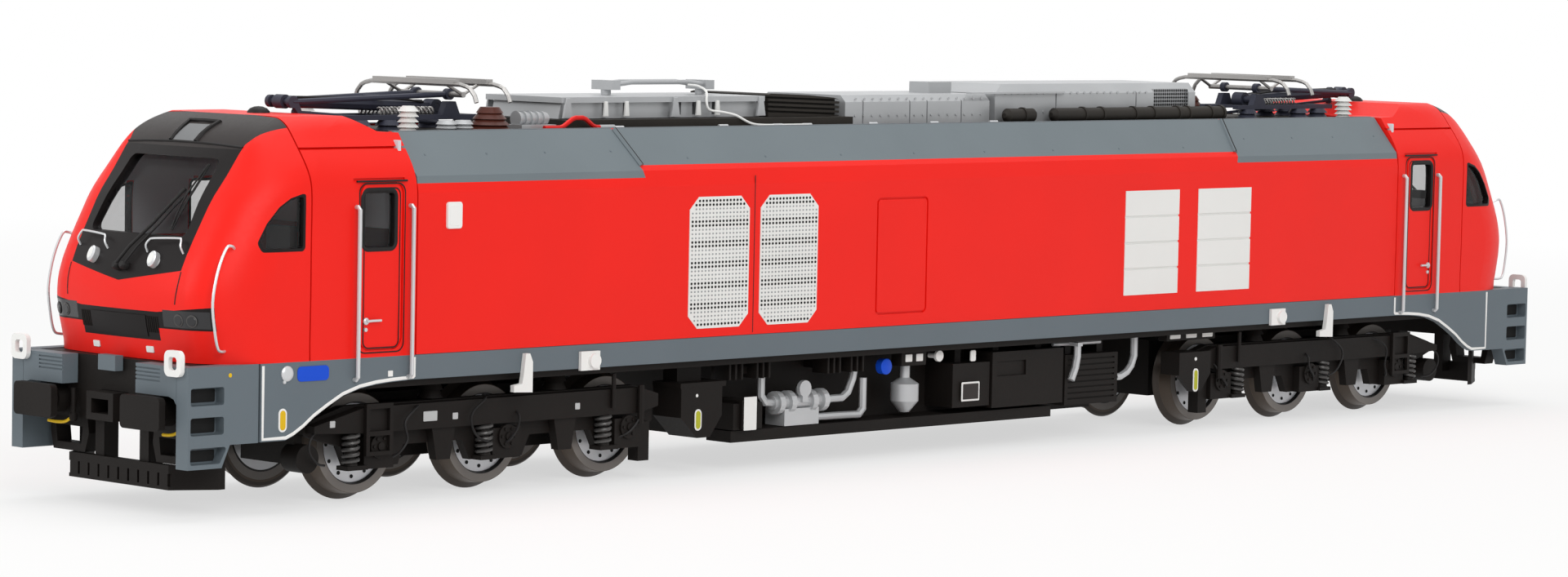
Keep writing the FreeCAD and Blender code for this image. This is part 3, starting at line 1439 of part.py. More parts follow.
main_case = main_case.cut(box(
    part_of(under_span(main_case_x_shares), main_case_recess_shares[0]),
    (out(main_case_y_share) - cut_over, out(main_case_y_share) + recess_depth),
    part_of(low_span(main_case_z_shares), main_case_recess_shares[1])
))
louvre_case_x = under_span(louvre_case_x_shares)
louvre_case_z = low_span(louvre_case_z_shares)
louvre_case_margins = (louvre_case_margin_share, 1 - louvre_case_margin_share)
louvre_slots = []
for i in range(louvre_case_rows):
    z = between(louvre_case_z, (i + 1) / (louvre_case_rows + 1))
    louvre_slots.append(box(
        part_of(louvre_case_x, louvre_case_margins),
        (out(louvre_case_y_share) - cut_over, out(louvre_case_y_share) + louvre_case_depth), (z, z + louvre_case_slot)
    ))
louvre_case = difference(case(louvre_case_x_shares, louvre_case_z_shares, louvre_case_y_share, double_hanger_shares), louvre_slots)
left_case = union([
    case(left_case_x_shares, left_case_z_shares, left_case_y_share),
    case(label_x_shares, label_z_shares, label_y_share),
])
save("equipment_cases", both_ends([sign_case, main_case, louvre_case, left_case]))
tray_x_shares = (-0.747, 0.424)
tray_z_shares = (0.204, 0.308)
tray_y_share = 0.817
conduit_x_shares = ((-0.713, -0.643), (-0.413, -0.349))
conduit_z_shares = (0.81, 0.88)
conduit_y_share = 0.757
trays = [case(tray_x_shares, tray_z_shares, tray_y_share)]
trays += [case(pair, conduit_z_shares, conduit_y_share, single_hanger_share) for pair in conduit_x_shares]
save("underfloor_trays", both_ends(trays))

# Sand hoppers of the body: a tapered box on a hanger behind each inner bogie end
hopper_x_shares = (-0.9456, -0.8086)
hopper_z_shares = (0.289, 0.739)
hopper_shares = ((0.397, 0), (0.712, 0), (1, 0.42), (1, 1), (0, 1), (0, 0.42))
hopper_y_shares = (0.61, 0.913)
hopper_lid_x_shares = (-0.948, -0.796)
hopper_lid_z_shares = (0.739, 0.785)
hopper_neck_x_shares = (-0.92, -0.84)
hopper_neck_y_shares = (0.63, 0.78)


def out_span(shares):
    return (out(shares[0]), out(shares[1]))


hopper = union([
    prism("y", fitted(under_span(hopper_x_shares), low_span(hopper_z_shares), hopper_shares), out_span(hopper_y_shares)),
    box(under_span(hopper_lid_x_shares), out_span(hopper_y_shares), low_span(hopper_lid_z_shares)),
    box(under_span(hopper_neck_x_shares), out_span(hopper_neck_y_shares), (low(hopper_lid_z_shares[0]), equipment_top)),
])
save("sand_hoppers", both_ends([hopper]))

# Cooling pipes, the valve group and the filter pot, all silver
pipe_radius = 0.5
pipe_bend = 0.8
pipe_y_share = 0.80
pipe_front_y_share = 0.873
pipe_top = equipment_top - pipe_radius
bar_z_share = 0.895
bar_radius = 0.25
bar_x_shares = (0.432, 0.62)
valve_x_shares = (-0.590, -0.405)
valve_z_share = 0.528
valve_y_share = 0.757
valve_radius = 0.9
flange_x_shares = (-0.575, -0.535, -0.46, -0.42)
valve_flange_radius = 1.5
valve_flange_half = 0.45
hand_wheel_x_share = -0.496
hand_wheel_z_share = 0.648
hand_wheel_radius = 1.1
hand_wheel_y_shares = (0.80, 0.835)
valve_body_x_shares = (-0.56, -0.44)
valve_body_z_shares = (0.315, 0.47)
valve_body_y_shares = (0.60, 0.81)
pot_x_share = -0.114
pot_radius = 1.9
pot_z_shares = (0.352, 0.458, 0.54, 0.62, 0.676)
pot_neck_share = 0.35


def run(shares, y_share, radius=pipe_radius):
    """A pipe through points given as shares of the inner reach and the sill height."""
    return rod([(under(a), out(y_share), low(b)) for a, b in shares], radius, pipe_bend)


louvre_pipe_shares = ((0.5045, 0.86), (0.5045, 0.72), (0.482, 0.55))
end_pipe_shares = ((0.76, 0.98), (0.76, 0.68), (0.72, 0.539), (0.686, 0.539))
riser_shares = ((-0.6266, 0.98), (-0.6266, 0.545), (-0.585, 0.528))
valve_pipe_shares = ((-0.41, 0.528), (-0.328, 0.528), (-0.298, 0.75), (-0.298, 0.98))
lower_pipe_shares = ((-0.44, 0.37), (-0.336, 0.366), (-0.2665, 0.36), (-0.2665, 0.70))
pipe_link_y_share = 0.80
louvre_pipe_link = box(
    grown((under(louvre_pipe_shares[0][0]), under(louvre_pipe_shares[0][0])), pipe_radius),
    (out(pipe_front_y_share) - pipe_radius, out(pipe_link_y_share)),
    grown((low(bar_z_share), low(bar_z_share)), bar_radius)
)
louvre_pipe = union([
    run(((louvre_pipe_shares[0][0], bar_z_share),) + louvre_pipe_shares[1:], pipe_front_y_share), louvre_pipe_link,
    bar("x", (out(pipe_link_y_share), low(bar_z_share)), bar_radius, under_span(bar_x_shares)),
])
valve_at = (out(valve_y_share), low(valve_z_share))
valve_pieces = [bar("x", valve_at, valve_radius, under_span(valve_x_shares), 2 * bar_sides)]
for share in flange_x_shares:
    valve_pieces.append(bar("x", valve_at, valve_flange_radius, grown((under(share), under(share)), valve_flange_half), 2 * bar_sides))
valve_pieces.append(bar("y", (under(hand_wheel_x_share), low(hand_wheel_z_share)), hand_wheel_radius, out_span(hand_wheel_y_shares), 2 * bar_sides))
valve_pieces.append(box(
    grown((under(hand_wheel_x_share), under(hand_wheel_x_share)), pipe_radius), out_span((valve_y_share, hand_wheel_y_shares[1])),
    low_span((valve_z_share, hand_wheel_z_share))
))
valve_pieces.append(box(under_span(valve_body_x_shares), out_span(valve_body_y_shares), low_span(valve_body_z_shares)))
valve_pieces.append(box(
    grown((under(hand_wheel_x_share), under(hand_wheel_x_share)), valve_radius),
    out_span((valve_body_y_shares[0], valve_y_share)), low_span((valve_body_z_shares[0], valve_z_share))
))
valve_pieces += [run(riser_shares, valve_y_share), run(valve_pipe_shares, valve_y_share), run(lower_pipe_shares, valve_y_share)]
valves = union(valve_pieces)
pot_low, pot_waist, pot_wide, pot_shoulder, pot_high = [low(share) for share in pot_z_shares]
pot_neck = pot_radius * pot_neck_share
pot = turned("z", (under(pot_x_share), out(valve_y_share)), [
    (pot_low, 0), (pot_low, pot_neck), (pot_waist, pot_radius), (pot_shoulder, pot_radius), (pot_high, pot_neck),
    (equipment_top, pot_neck), (equipment_top, 0),
])
save("cooling_pipes", both_ends([louvre_pipe, run(end_pipe_shares, pipe_y_share), valves, pot]))

# Wheelsets: two wheels on an axle whose journals run in the axle boxes
axle_offsets = (-axle_spacing, 0, axle_spacing)
journal_radius = 0.7
axle_radius = 1.0
journal_fit = 0.05
hub_proud = 0.1
rim_share = 0.80
hub_share = 0.34
disc_recess = 0.6
disc_bevel = 0.2
flange_bevel = 0.25
flange_root = 0.9
root_rise = 0.1
tread_drop = 0.12
side_clearance = 0.95
side_inset = 2.05
wheel_back = wheel_back_to_back / 2
wheel_face = wheel_back + wheel_width
tread_radius = wheel_diameter / 2
flange_radius = tread_radius + flange_depth
side_span = (wheel_face + side_clearance, half_width - side_inset)
journal_end_share = 0.30
journal_end = between(side_span, journal_end_share)


def wheelset(x):
    rim_inner = tread_radius * rim_share
    hub_radius = tread_radius * hub_share
    half = [
        (wheel_back, axle_radius), (wheel_back, flange_radius - flange_bevel), (wheel_back + flange_bevel, flange_radius),
        (wheel_back + flange_root, tread_radius + root_rise), (wheel_face, tread_radius - tread_drop), (wheel_face, rim_inner),
        (wheel_face - disc_recess, rim_inner - disc_bevel), (wheel_face - disc_recess, hub_radius + disc_bevel),
        (wheel_face + hub_proud, hub_radius), (wheel_face + hub_proud, journal_radius), (journal_end, journal_radius),
        (journal_end, 0),
    ]
    return turned("y", (x, axle_z), [(-w, r) for w, r in reversed(half)] + half)


# Bogies: drawn at the cab 2 end from the bogie's centre, then turned half round for the other
bogie_centre = -bogie_x


def at(share):
    """A place along the bogie as a share of the axle spacing, from its centre."""
    return bogie_centre + axle_spacing * share


def at_span(shares):
    return (at(shares[0]), at(shares[1]))


def at_outline(shares):
    """Outline points as shares of the axle spacing and of the sill height."""
    return [(at(a), low(b)) for a, b in shares]


def across(shares):
    """A span through the bogie's side relief."""
    return part_of(side_span, shares)


side_plate_shares = (
    (-1.52, 0.60), (-1.50, 0.66), (-1.22, 0.775), (1.10, 0.785), (1.26, 0.72), (1.26, 0.46), (1.20, 0.42), (1.16, 0.255),
    (0.80, 0.255), (0.74, 0.42), (0.24, 0.42), (0.18, 0.245), (-0.24, 0.245), (-0.30, 0.42), (-0.76, 0.42), (-0.80, 0.255),
    (-1.18, 0.255), (-1.24, 0.44), (-1.40, 0.50), (-1.52, 0.56),
)
side_plate_y_shares = (0.24, 0.58)
main_beam_shares = (
    (-1.50, 0.575), (-1.50, 0.635), (-1.12, 0.765), (1.08, 0.775), (1.24, 0.71), (1.24, 0.60), (1.08, 0.549), (-1.12, 0.549),
)
main_beam_y_shares = (0.56, 1.0)
axle_box_half_share = 0.112
axle_box_z_shares = (0.246, 0.507)
axle_box_y_shares = (0.08, 0.92)
box_cover_radius = 1.5
box_cover_y_shares = (0.9, 1.01)
spring_arm_shares = ((-0.255, -0.1), (-0.225, -0.1), (-0.25, -0.1))
spring_arm_z_shares = (0.246, 0.282)
spring_arm_y_shares = (0.5, 1.05)
spring_seat_z_shares = (0.284, 0.547)
spring_offset_shares = (-0.200, -0.166, -0.195)
spring_y_share = 0.83
spring_radius = 0.85
bracket_s_shares = (-0.498, 0.478)
bracket_outline_shares = ((-0.053, 0.275), (0.053, 0.275), (0.092, 0.56), (-0.092, 0.56))
bracket_y_shares = (0.56, 0.9)
end_block_s_shares = (1.117, 1.21)
end_block_z_shares = (0.113, 0.46)
end_block_y_shares = (0.27, 0.75)
core_half = 4.6
core_s_shares = (-1.27, 1.22)
core_z_shares = (0.24, 0.803)
cross_s_shares = ((-0.605, -0.395), (0.395, 0.605))
cross_z_shares = (0.493, 0.732)
end_beam_s_shares = (-1.522, -1.415)
end_beam_z_shares = (0.599, 0.662)
spine_half = 2.0
cross_reach = across(side_plate_y_shares)[0] + seat_gap * 4
frame_pieces = [box(at_span(core_s_shares), (-core_half, core_half), low_span(core_z_shares))]
frame_pieces += both_sides([
    prism("y", at_outline(side_plate_shares), across(side_plate_y_shares)),
    prism("y", at_outline(main_beam_shares), across(main_beam_y_shares)),
    box(at_span(end_block_s_shares), across(end_block_y_shares), low_span(end_block_z_shares)),
])
frame_pieces += [box(at_span(pair), (-cross_reach, cross_reach), low_span(cross_z_shares)) for pair in cross_s_shares]
frame_pieces.append(box(at_span(end_beam_s_shares), (-cross_reach, cross_reach), low_span(end_beam_z_shares)))
frame_pieces.append(box(at_span((end_beam_s_shares[0], core_s_shares[0])), (-spine_half, spine_half), low_span(end_beam_z_shares)))
for s, (arm_start, arm_end) in zip((-1, 0, 1), spring_arm_shares):
    frame_pieces += both_sides([
        box(at_span((s - axle_box_half_share, s + axle_box_half_share)), across(axle_box_y_shares), low_span(axle_box_z_shares)),
        box(at_span((s + arm_start, s + arm_end)), across(spring_arm_y_shares), low_span(spring_arm_z_shares)),
        bar("y", (at(s), axle_z), box_cover_radius, across(box_cover_y_shares), 2 * bar_sides),
    ])
for s in bracket_s_shares:
    frame_pieces += both_sides([prism(
        "y", at_outline([(s + a, b) for a, b in bracket_outline_shares]), across(bracket_y_shares)
    )])
bore_play = 0.2
pivot_low = plate_z[0] - pivot_depth
bogie_frame = difference(union(frame_pieces), [
    cylinder("z", (bogie_centre, 0), pivot_radius + pivot_fit, (pivot_low - stand_gap, sill_bottom)),
] + [
    cylinder("y", (at(s), axle_z), axle_radius + journal_fit, grown((-core_half, core_half), cut_over)) for s in (-1, 0, 1)
] + [
    cylinder("y", (at(s), axle_z), journal_radius + journal_fit, grown((-journal_end, journal_end), bore_play)) for s in (-1, 0, 1)
])
spring_sheds = 3
secondary_s_shares = (-0.498, 0.498)
secondary_z_shares = (0.7885, 1.0)
secondary_y_share = 0.20
secondary_radius = 1.6
spring_core_share = 0.72
springs = []
for s, offset in zip((-1, 0, 1), spring_offset_shares):
    springs.append(insulator("z", (at(s + offset), between(side_span, spring_y_share)), low_span(spring_seat_z_shares), spring_radius, spring_sheds, spring_core_share))
for s in secondary_s_shares:
    springs.append(insulator("z", (at(s), between(side_span, secondary_y_share)), low_span(secondary_z_shares), secondary_radius, spring_sheds, spring_core_share))
springs = both_sides(springs)

# Bogie fittings: ladder, sanding drum, dampers on both sides and a hopper on one side
ladder_s_shares = (-1.131, -0.927)
ladder_z_shares = (0.36, 0.796)
ladder_y_shares = (1.015, 1.15)
ladder_bar_share = 0.13
ladder_rung_shares = ((0.08, 0.38), (0.47, 0.90))
drum_s_share = -1.50
drum_z_share = 0.36
drum_size = 1.7
drum_y_shares = (-0.12, 0.68)
drum_hanger_half = 0.6
drum_hanger_y_shares = (-0.12, 0.2)
strut_s_share = 0.845
strut_z_shares = (0.61, 0.915)
strut_radius = 0.3
damper_s_share = 1.07
damper_z_shares = (0.46, 0.80)
damper_radius = 0.45
bogie_hopper_s_shares = (1.185, 1.525)
bogie_hopper_z_shares = (0.352, 0.746)
bogie_hopper_shares = ((0.29, 0), (0.60, 0), (1, 0.43), (1, 1), (0, 1), (0, 0.43))
bogie_hopper_y_shares = (1.015, 1.22)
bogie_hopper_back_s_shares = (1.27, 1.525)
bogie_hopper_back_y_shares = (0.3, 1.1)
ladder_x = at_span(ladder_s_shares)
ladder_z = low_span(ladder_z_shares)
ladder_y = across(ladder_y_shares)
ladder = difference(box(ladder_x, ladder_y, ladder_z), [
    box(part_of(ladder_x, (ladder_bar_share, 1 - ladder_bar_share)), grown(ladder_y, cut_over), part_of(ladder_z, pair))
    for pair in ladder_rung_shares
])
drum_y = across(drum_y_shares)
drum = union([
    cylinder("y", (at(drum_s_share), low(drum_z_share)), drum_size, drum_y),
    box(
        grown((at(drum_s_share), at(drum_s_share)), drum_hanger_half), across(drum_hanger_y_shares),
        (low(drum_z_share), low(end_beam_z_shares[0]) - seat_gap)
    ),
])
strut = bar("z", (at(strut_s_share), side_span[1] + strut_radius + seat_gap), strut_radius, low_span(strut_z_shares))
damper = bar("z", (at(damper_s_share), side_span[1] + damper_radius + seat_gap), damper_radius, low_span(damper_z_shares))
bogie_hopper_outline = fitted(at_span(bogie_hopper_s_shares), low_span(bogie_hopper_z_shares), bogie_hopper_shares)
bogie_hopper_z = low_span(bogie_hopper_z_shares)
bogie_hopper = union([
    prism("y", bogie_hopper_outline, across(bogie_hopper_y_shares)),
    box(
        at_span(bogie_hopper_back_s_shares), across(bogie_hopper_back_y_shares),
        (between(bogie_hopper_z, bogie_hopper_shares[2][1]), bogie_hopper_z[1])
    ),
])
fittings = both_sides([ladder, drum, strut, damper]) + [bogie_hopper]
for number, turn in ((2, lambda shape: shape), (1, turned_round)):
    save("bogie_frame_%d" % number, [turn(bogie_frame)])
    save("bogie_springs_%d" % number, [turn(shape) for shape in springs])
    save("bogie_fittings_%d" % number, [turn(shape) for shape in fittings])
wheel_number = 0
for end in (1, -1):
    for s in (axle_spacing, 0, -axle_spacing):
        wheel_number += 1
        save("wheelset_%d" % wheel_number, [wheelset(end * bogie_x + s)])
print(len(saved), "nodes")
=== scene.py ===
# %% [markdown]
# An H0 model of a six-axle electric locomotive, dressed in Blender around its CAD solids.
# The CAD pieces already have the right shapes and sizes, so they are loaded first and never moved.
# Everything after that is finish: paint, glass, and the small trim that the solids leave out.

# %% Load the solids
import math

import bmesh
import bpy
from mathutils import Matrix, Vector
from mathutils.bvhtree import BVHTree


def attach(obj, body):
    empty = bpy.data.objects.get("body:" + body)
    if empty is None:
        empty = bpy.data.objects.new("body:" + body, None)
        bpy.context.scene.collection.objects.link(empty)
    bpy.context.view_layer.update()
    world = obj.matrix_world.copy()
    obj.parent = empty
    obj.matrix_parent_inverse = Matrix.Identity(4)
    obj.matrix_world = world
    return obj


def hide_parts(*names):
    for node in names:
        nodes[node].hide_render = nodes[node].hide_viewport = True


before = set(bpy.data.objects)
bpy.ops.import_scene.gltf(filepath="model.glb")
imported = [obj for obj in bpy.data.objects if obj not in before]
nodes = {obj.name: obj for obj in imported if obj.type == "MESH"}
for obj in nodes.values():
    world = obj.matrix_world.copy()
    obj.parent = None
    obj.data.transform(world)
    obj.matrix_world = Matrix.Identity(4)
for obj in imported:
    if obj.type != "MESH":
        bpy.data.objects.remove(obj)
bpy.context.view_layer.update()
MM = 0.001
RAIL_HEAD = 0.8


def mm(x, y, z):
    """A point in metres from millimetres, with the height counted from the rail head."""
    return Vector((x * MM, y * MM, (z + RAIL_HEAD) * MM))


# %% [markdown]
# The camera stands where the photographer's stood: low, ahead of cab 2 and off to its right-hand side, with a
# long lens. Its place was worked out from points on the model, so the render can be laid over the picture.

# %% Camera
CAMERA_PLACE = mm(-464.35, -433.0, 63.76)
YAW = math.radians(44.03)
PITCH = math.radians(-4.057)
ROLL = math.radians(1.155)
FOCAL_PIXELS = 5742.0
PICTURE_WIDTH = 1920.0
PRINCIPAL_DROP = 13.4

ahead = Vector((math.cos(YAW) * math.cos(PITCH), math.sin(YAW) * math.cos(PITCH), math.sin(PITCH)))
level = Vector((math.sin(YAW), -math.cos(YAW), 0))
rise = level.cross(ahead)
right = level * math.cos(ROLL) + rise * math.sin(ROLL)
up = rise * math.cos(ROLL) - level * math.sin(ROLL)
camera_data = bpy.data.cameras.new("photo_camera")
camera_data.sensor_width = 36.0
camera_data.lens = FOCAL_PIXELS / PICTURE_WIDTH * camera_data.sensor_width
camera_data.shift_y = PRINCIPAL_DROP / PICTURE_WIDTH
camera_data.clip_start = 0.05
camera_data.clip_end = 50
camera = bpy.data.objects.new("photo_camera", camera_data)
turn = Matrix((right, up, -ahead)).transposed()
camera.matrix_world = Matrix.Translation(CAMERA_PLACE) @ turn.to_4x4()
scene = bpy.context.scene
scene.collection.objects.link(camera)
scene.camera = camera
print("lens:", round(camera_data.lens, 2), "mm")

# %% [markdown]
# Materials and shapes both come from node trees, and four small helpers build them all: one fills a node's
# inputs, one adds a node, one makes a sum and one makes a colour ramp.


# %% Helpers for nodes
def fill(tree, node, inputs):
    """Links or sets a node's inputs by their names."""
    for key, value in inputs.items():
        if isinstance(value, bpy.types.NodeSocket):
            tree.links.new(value, node.inputs[key])
        else:
            node.inputs[key].default_value = value


def add(tree, kind, inputs=None, **settings):
    """A node with its settings, and with its inputs linked or filled."""
    node = tree.nodes.new(kind)
    for key, value in settings.items():
        setattr(node, key, value)
    fill(tree, node, inputs or {})
    return node


def calc(tree, operation, first, second=0.0, third=0.0):
    """The output of one Math node."""
    return add(tree, "ShaderNodeMath", {0: first, 1: second, 2: third}, operation=operation).outputs[0]


def ramp(tree, value, stops, interpolation="LINEAR", name="ramp"):
    """A colour ramp with (position, colour) stops."""
    node = add(tree, "ShaderNodeValToRGB", {"Fac": value}, name=name)
    node.color_ramp.interpolation = interpolation
    elements = node.color_ramp.elements
    while len(elements) < len(stops):
        elements.new(0.5)
    for element, (position, colour) in zip(elements, stops):
        element.position = position
        element.color = (*colour, 1)
    return node


# %% [markdown]
# The picture is a studio shot on white. A plain pale floor and a pale world do that job, and three soft
# lamps light the model about as evenly as a light tent. The world is whiter to the camera than to the paint,
# and the floor glows a little to the camera, more so away from the model. Near the model its shadow stays.

# %% Floor, world and lamps
WHITE = (1.0, 1.0, 1.0, 1)
FLOOR_COLOUR = (0.86, 0.86, 0.85, 1)
FLOOR_HALF = 12.0
WORLD_LIGHT = 0.42
# Distance from the middle in metres, and the share of the floor's glow there
GLOW_NEAR, GLOW_FAR = (0.12, 0.62), (0.55, 1.0)
scene.view_settings.view_transform = "Standard"


def seen_directly(tree):
    """One for rays from the camera, from mirrors and through glass, zero for light that falls on things."""
    path = add(tree, "ShaderNodeLightPath").outputs
    first = calc(tree, "MAXIMUM", path["Is Camera Ray"], path["Is Glossy Ray"])
    return calc(tree, "MAXIMUM", first, path["Is Transmission Ray"])


world = bpy.data.worlds.new("studio")
scene.world = world
world.use_nodes = True
tree = world.node_tree
tree.nodes.clear()
lighting = add(tree, "ShaderNodeBackground", {"Color": WHITE, "Strength": WORLD_LIGHT})
backdrop = add(tree, "ShaderNodeBackground", {"Color": WHITE, "Strength": 1.0})
mix = add(tree, "ShaderNodeMixShader", {
    0: seen_directly(tree), 1: lighting.outputs[0], 2: backdrop.outputs[0]
})
add(tree, "ShaderNodeOutputWorld", {0: mix.outputs[0]})

floor_mesh = bpy.data.meshes.new("floor")
corners = [(x * FLOOR_HALF, y * FLOOR_HALF, 0) for x, y in ((-1, -1), (1, -1), (1, 1), (-1, 1))]
floor_mesh.from_pydata(corners, [], [(0, 1, 2, 3)])
floor = bpy.data.objects.new("floor", floor_mesh)
scene.collection.objects.link(floor)
floor_paint = bpy.data.materials.new("studio_floor")
floor_paint.use_nodes = True
tree = floor_paint.node_tree
tree.nodes.clear()
matt = add(tree, "ShaderNodeBsdfDiffuse", {"Color": FLOOR_COLOUR})
glow = add(tree, "ShaderNodeEmission", {"Color": WHITE, "Strength": 1.0})
place = add(tree, "ShaderNodeTexCoord")
reach = add(tree, "ShaderNodeVectorMath", {0: place.outputs["Object"]}, operation="LENGTH")
fade = add(tree, "ShaderNodeMapRange", {
    "Value": reach.outputs["Value"], "From Min": GLOW_NEAR[0], "From Max": GLOW_FAR[0],
    "To Min": GLOW_NEAR[1], "To Max": GLOW_FAR[1],
})
share = calc(tree, "MULTIPLY", seen_directly(tree), fade.outputs["Result"])
mix = add(tree, "ShaderNodeMixShader", {0: share, 1: matt.outputs[0], 2: glow.outputs[0]})
add(tree, "ShaderNodeOutputMaterial", {0: mix.outputs[0]})
floor_mesh.materials.append(floor_paint)


def lamp(name, place, target, size, watts):
    """A soft square lamp that faces a point."""
    data = bpy.data.lights.new(name, "AREA")
    data.shape = "SQUARE"
    data.size = size
    data.energy = watts
    obj = bpy.data.objects.new(name, data)
    obj.location = place
    obj.rotation_euler = (Vector(target) - Vector(place)).to_track_quat("-Z", "Y").to_euler()
    scene.collection.objects.link(obj)


lamp("key_lamp", (-0.45, -0.85, 0.60), (0, 0, 0.02), 0.6, 5.0)
lamp("top_lamp", (0.1, 0.05, 0.95), (0, 0, 0.02), 0.9, 4.5)
lamp("end_lamp", (-0.95, 0.30, 0.40), (-0.1, 0, 0.02), 0.5, 2.6)

# %% [markdown]
# Paint on a model is thin and even, but it is never one flat value: it has a fine grain, a slightly uneven
# sheen and a breath of dust. One helper makes every painted or moulded finish from its colour and its
# roughness, and reads Object coordinates so that the pattern has one scale on every piece.

# %% A helper for painted and moulded finishes
# The sizes of the mottling, of the grain and of the grain's height in millimetres
MOTTLE, GRAIN, GRAIN_HEIGHT = 14.4, 0.42, 0.05


def finish(name, colour, rough, metal=0.0, coat=0.0, uneven=0.05, bump=0.02, alpha=1.0, gloss=0.22):
    """A procedural paint, plastic or metal, with a broad mottling and a fine grain."""
    material = bpy.data.materials.new(name)
    material.use_nodes = True
    tree = material.node_tree
    place = add(tree, "ShaderNodeTexCoord").outputs["Object"]
    broad = add(tree, "ShaderNodeTexNoise", {
        "Vector": place, "Scale": 1 / (MOTTLE * MM), "Detail": 3
    }, name="broad")
    fine = add(tree, "ShaderNodeTexNoise", {"Vector": place, "Scale": 1 / (GRAIN * MM), "Detail": 2})
    low = [max(0.0, c * (1 - uneven)) for c in colour]
    high = [min(1.0, c * (1 + uneven)) for c in colour]
    tint = ramp(tree, broad.outputs["Fac"], [(0.3, low), (0.7, high)], name="tint")
    sheen = add(tree, "ShaderNodeMapRange", {
        "Value": fine.outputs["Fac"], "To Min": max(0.02, rough - 0.05), "To Max": min(1.0, rough + 0.07)
    })
    relief = add(tree, "ShaderNodeBump", {
        "Height": fine.outputs["Fac"], "Strength": bump, "Distance": GRAIN_HEIGHT * MM
    })
    fill(tree, tree.nodes["Principled BSDF"], {
        "Base Color": tint.outputs["Color"], "Roughness": sheen.outputs["Result"],
        "Normal": relief.outputs["Normal"], "Metallic": metal, "Specular IOR Level": gloss,
        "Coat Weight": coat, "Coat Roughness": 0.12, "Alpha": alpha,
    })
    return material


# %% [markdown]
# The body is one red over a grey skirt, and its roof panels are a second grey. Black plastic carries the
# running gear, and silver, pewter and brown pick out the roof. Each colour below was matched.

# %% The locomotive's finishes
traffic_red = finish("traffic_red", (0.86, 0.012, 0.006), 0.42, uneven=0.02, bump=0.01)
sill_grey = finish("sill_grey", (0.128, 0.156, 0.176), 0.48, uneven=0.03)
roof_grey = finish("roof_grey", (0.160, 0.190, 0.206), 0.50, uneven=0.04)
mask_black = finish("mask_black", (0.012, 0.010, 0.010), 0.34, uneven=0.08, gloss=0.12)
frame_black = finish("frame_black", (0.010, 0.008, 0.007), 0.55, uneven=0.22, bump=0.06, gloss=0.14)
deck_black = finish("deck_black", (0.020, 0.017, 0.014), 0.62, uneven=0.25, bump=0.08)
roof_silver = finish("roof_silver", (0.43, 0.44, 0.45), 0.36, metal=0.3, uneven=0.09, bump=0.06)
grille_white = finish("grille_white", (0.80, 0.80, 0.78), 0.5, uneven=0.02)
trim_white = finish("trim_white", (0.84, 0.84, 0.82), 0.45, uneven=0.02)
insulator_white = finish("insulator_white", (0.72, 0.72, 0.70), 0.40, uneven=0.04)
insulator_brown = finish("insulator_brown", (0.075, 0.020, 0.013), 0.35, uneven=0.15)
pantograph_blue = finish("pantograph_blue", (0.040, 0.043, 0.064), 0.45, uneven=0.12)
pewter = finish("pewter", (0.36, 0.35, 0.34), 0.36, metal=0.75, uneven=0.08)
rail_silver = finish("rail_silver", (0.62, 0.63, 0.64), 0.32, metal=0.5, uneven=0.04)
pipe_silver = finish("pipe_silver", (0.52, 0.53, 0.54), 0.36, metal=0.35, uneven=0.14, bump=0.08)
cab_inside = finish("cab_inside", (0.075, 0.078, 0.082), 0.6, uneven=0.1)
cab_wall_grey = finish("cab_wall_grey", (0.62, 0.64, 0.67), 0.6, uneven=0.06)
window_glass = finish("window_glass", (0.006, 0.007, 0.008), 0.06, coat=0.4, alpha=0.12, gloss=0.5)
side_glass = finish("side_glass", (0.006, 0.006, 0.006), 0.06, coat=0.4, alpha=0.25, gloss=0.5)
lamp_glass = finish("lamp_glass", (0.020, 0.020, 0.022), 0.12, coat=0.25, uneven=0.3, gloss=0.3)
seal_black = finish("seal_black", (0.010, 0.009, 0.009), 0.5, uneven=0.1)
# Painted shade: the next two finishes colour studs and plates that stand for the shade inside holes, screens
# and recesses.
hole_shade_dark = finish("hole_shade_dark", (0.012, 0.012, 0.012), 0.7, uneven=0.3)
hole_shade_pale = finish("hole_shade_pale", (0.34, 0.36, 0.36), 0.6, uneven=0.15)
sign_yellow = finish("sign_yellow", (0.72, 0.46, 0.012), 0.45, uneven=0.04)
hopper_yellow = finish("hopper_yellow", (0.46, 0.47, 0.03), 0.45, uneven=0.05)
sign_blue = finish("sign_blue", (0.006, 0.075, 0.62), 0.4, uneven=0.04)
cable_red = finish("cable_red", (0.62, 0.012, 0.010), 0.38, uneven=0.06)
lamp_grey = finish("lamp_grey", (0.17, 0.175, 0.18), 0.3, uneven=0.1)
wire_dark = finish("wire_dark", (0.085, 0.082, 0.080), 0.34, metal=0.4, uneven=0.1)
label_grey = finish("label_grey", (0.50, 0.51, 0.51), 0.5, uneven=0.05)
visor_brown = finish("visor_brown", (0.036, 0.031, 0.030), 0.42, uneven=0.06, gloss=0.16)

painted_nodes = (
    (frame_black, "chassis_frame buffers buffer_steps coupler_pockets ploughs equipment_cases sand_hoppers"),
    (frame_black, "underfloor_trays"),
    (sill_grey, "side_sills corner_steps beam_plates"),
    (traffic_red, "machine_room_walls cab_noses cab_sides"),
    (roof_grey, "roof_edge_panels"),
    (deck_black, "roof_deck resistor_bank air_cylinders"),
    (grille_white, "side_grilles side_louvres"),
    (mask_black, "front_bands"),
    (window_glass, "windscreens"),
    (side_glass, "cab_side_glass"),
    (cab_inside, "cab_interiors"),
    (roof_silver, "fan_hoods roof_busbars roof_cooler roof_housing"),
    (insulator_white, "white_insulators"),
    (insulator_brown, "brown_insulators"),
    (rail_silver, "door_handrails front_handrails"),
    (seal_black, "wipers"),
    (trim_white, "lifting_points"),
    (pipe_silver, "cooling_pipes"),
)
by_node = {name: material for material, names in painted_nodes for name in names.split()}
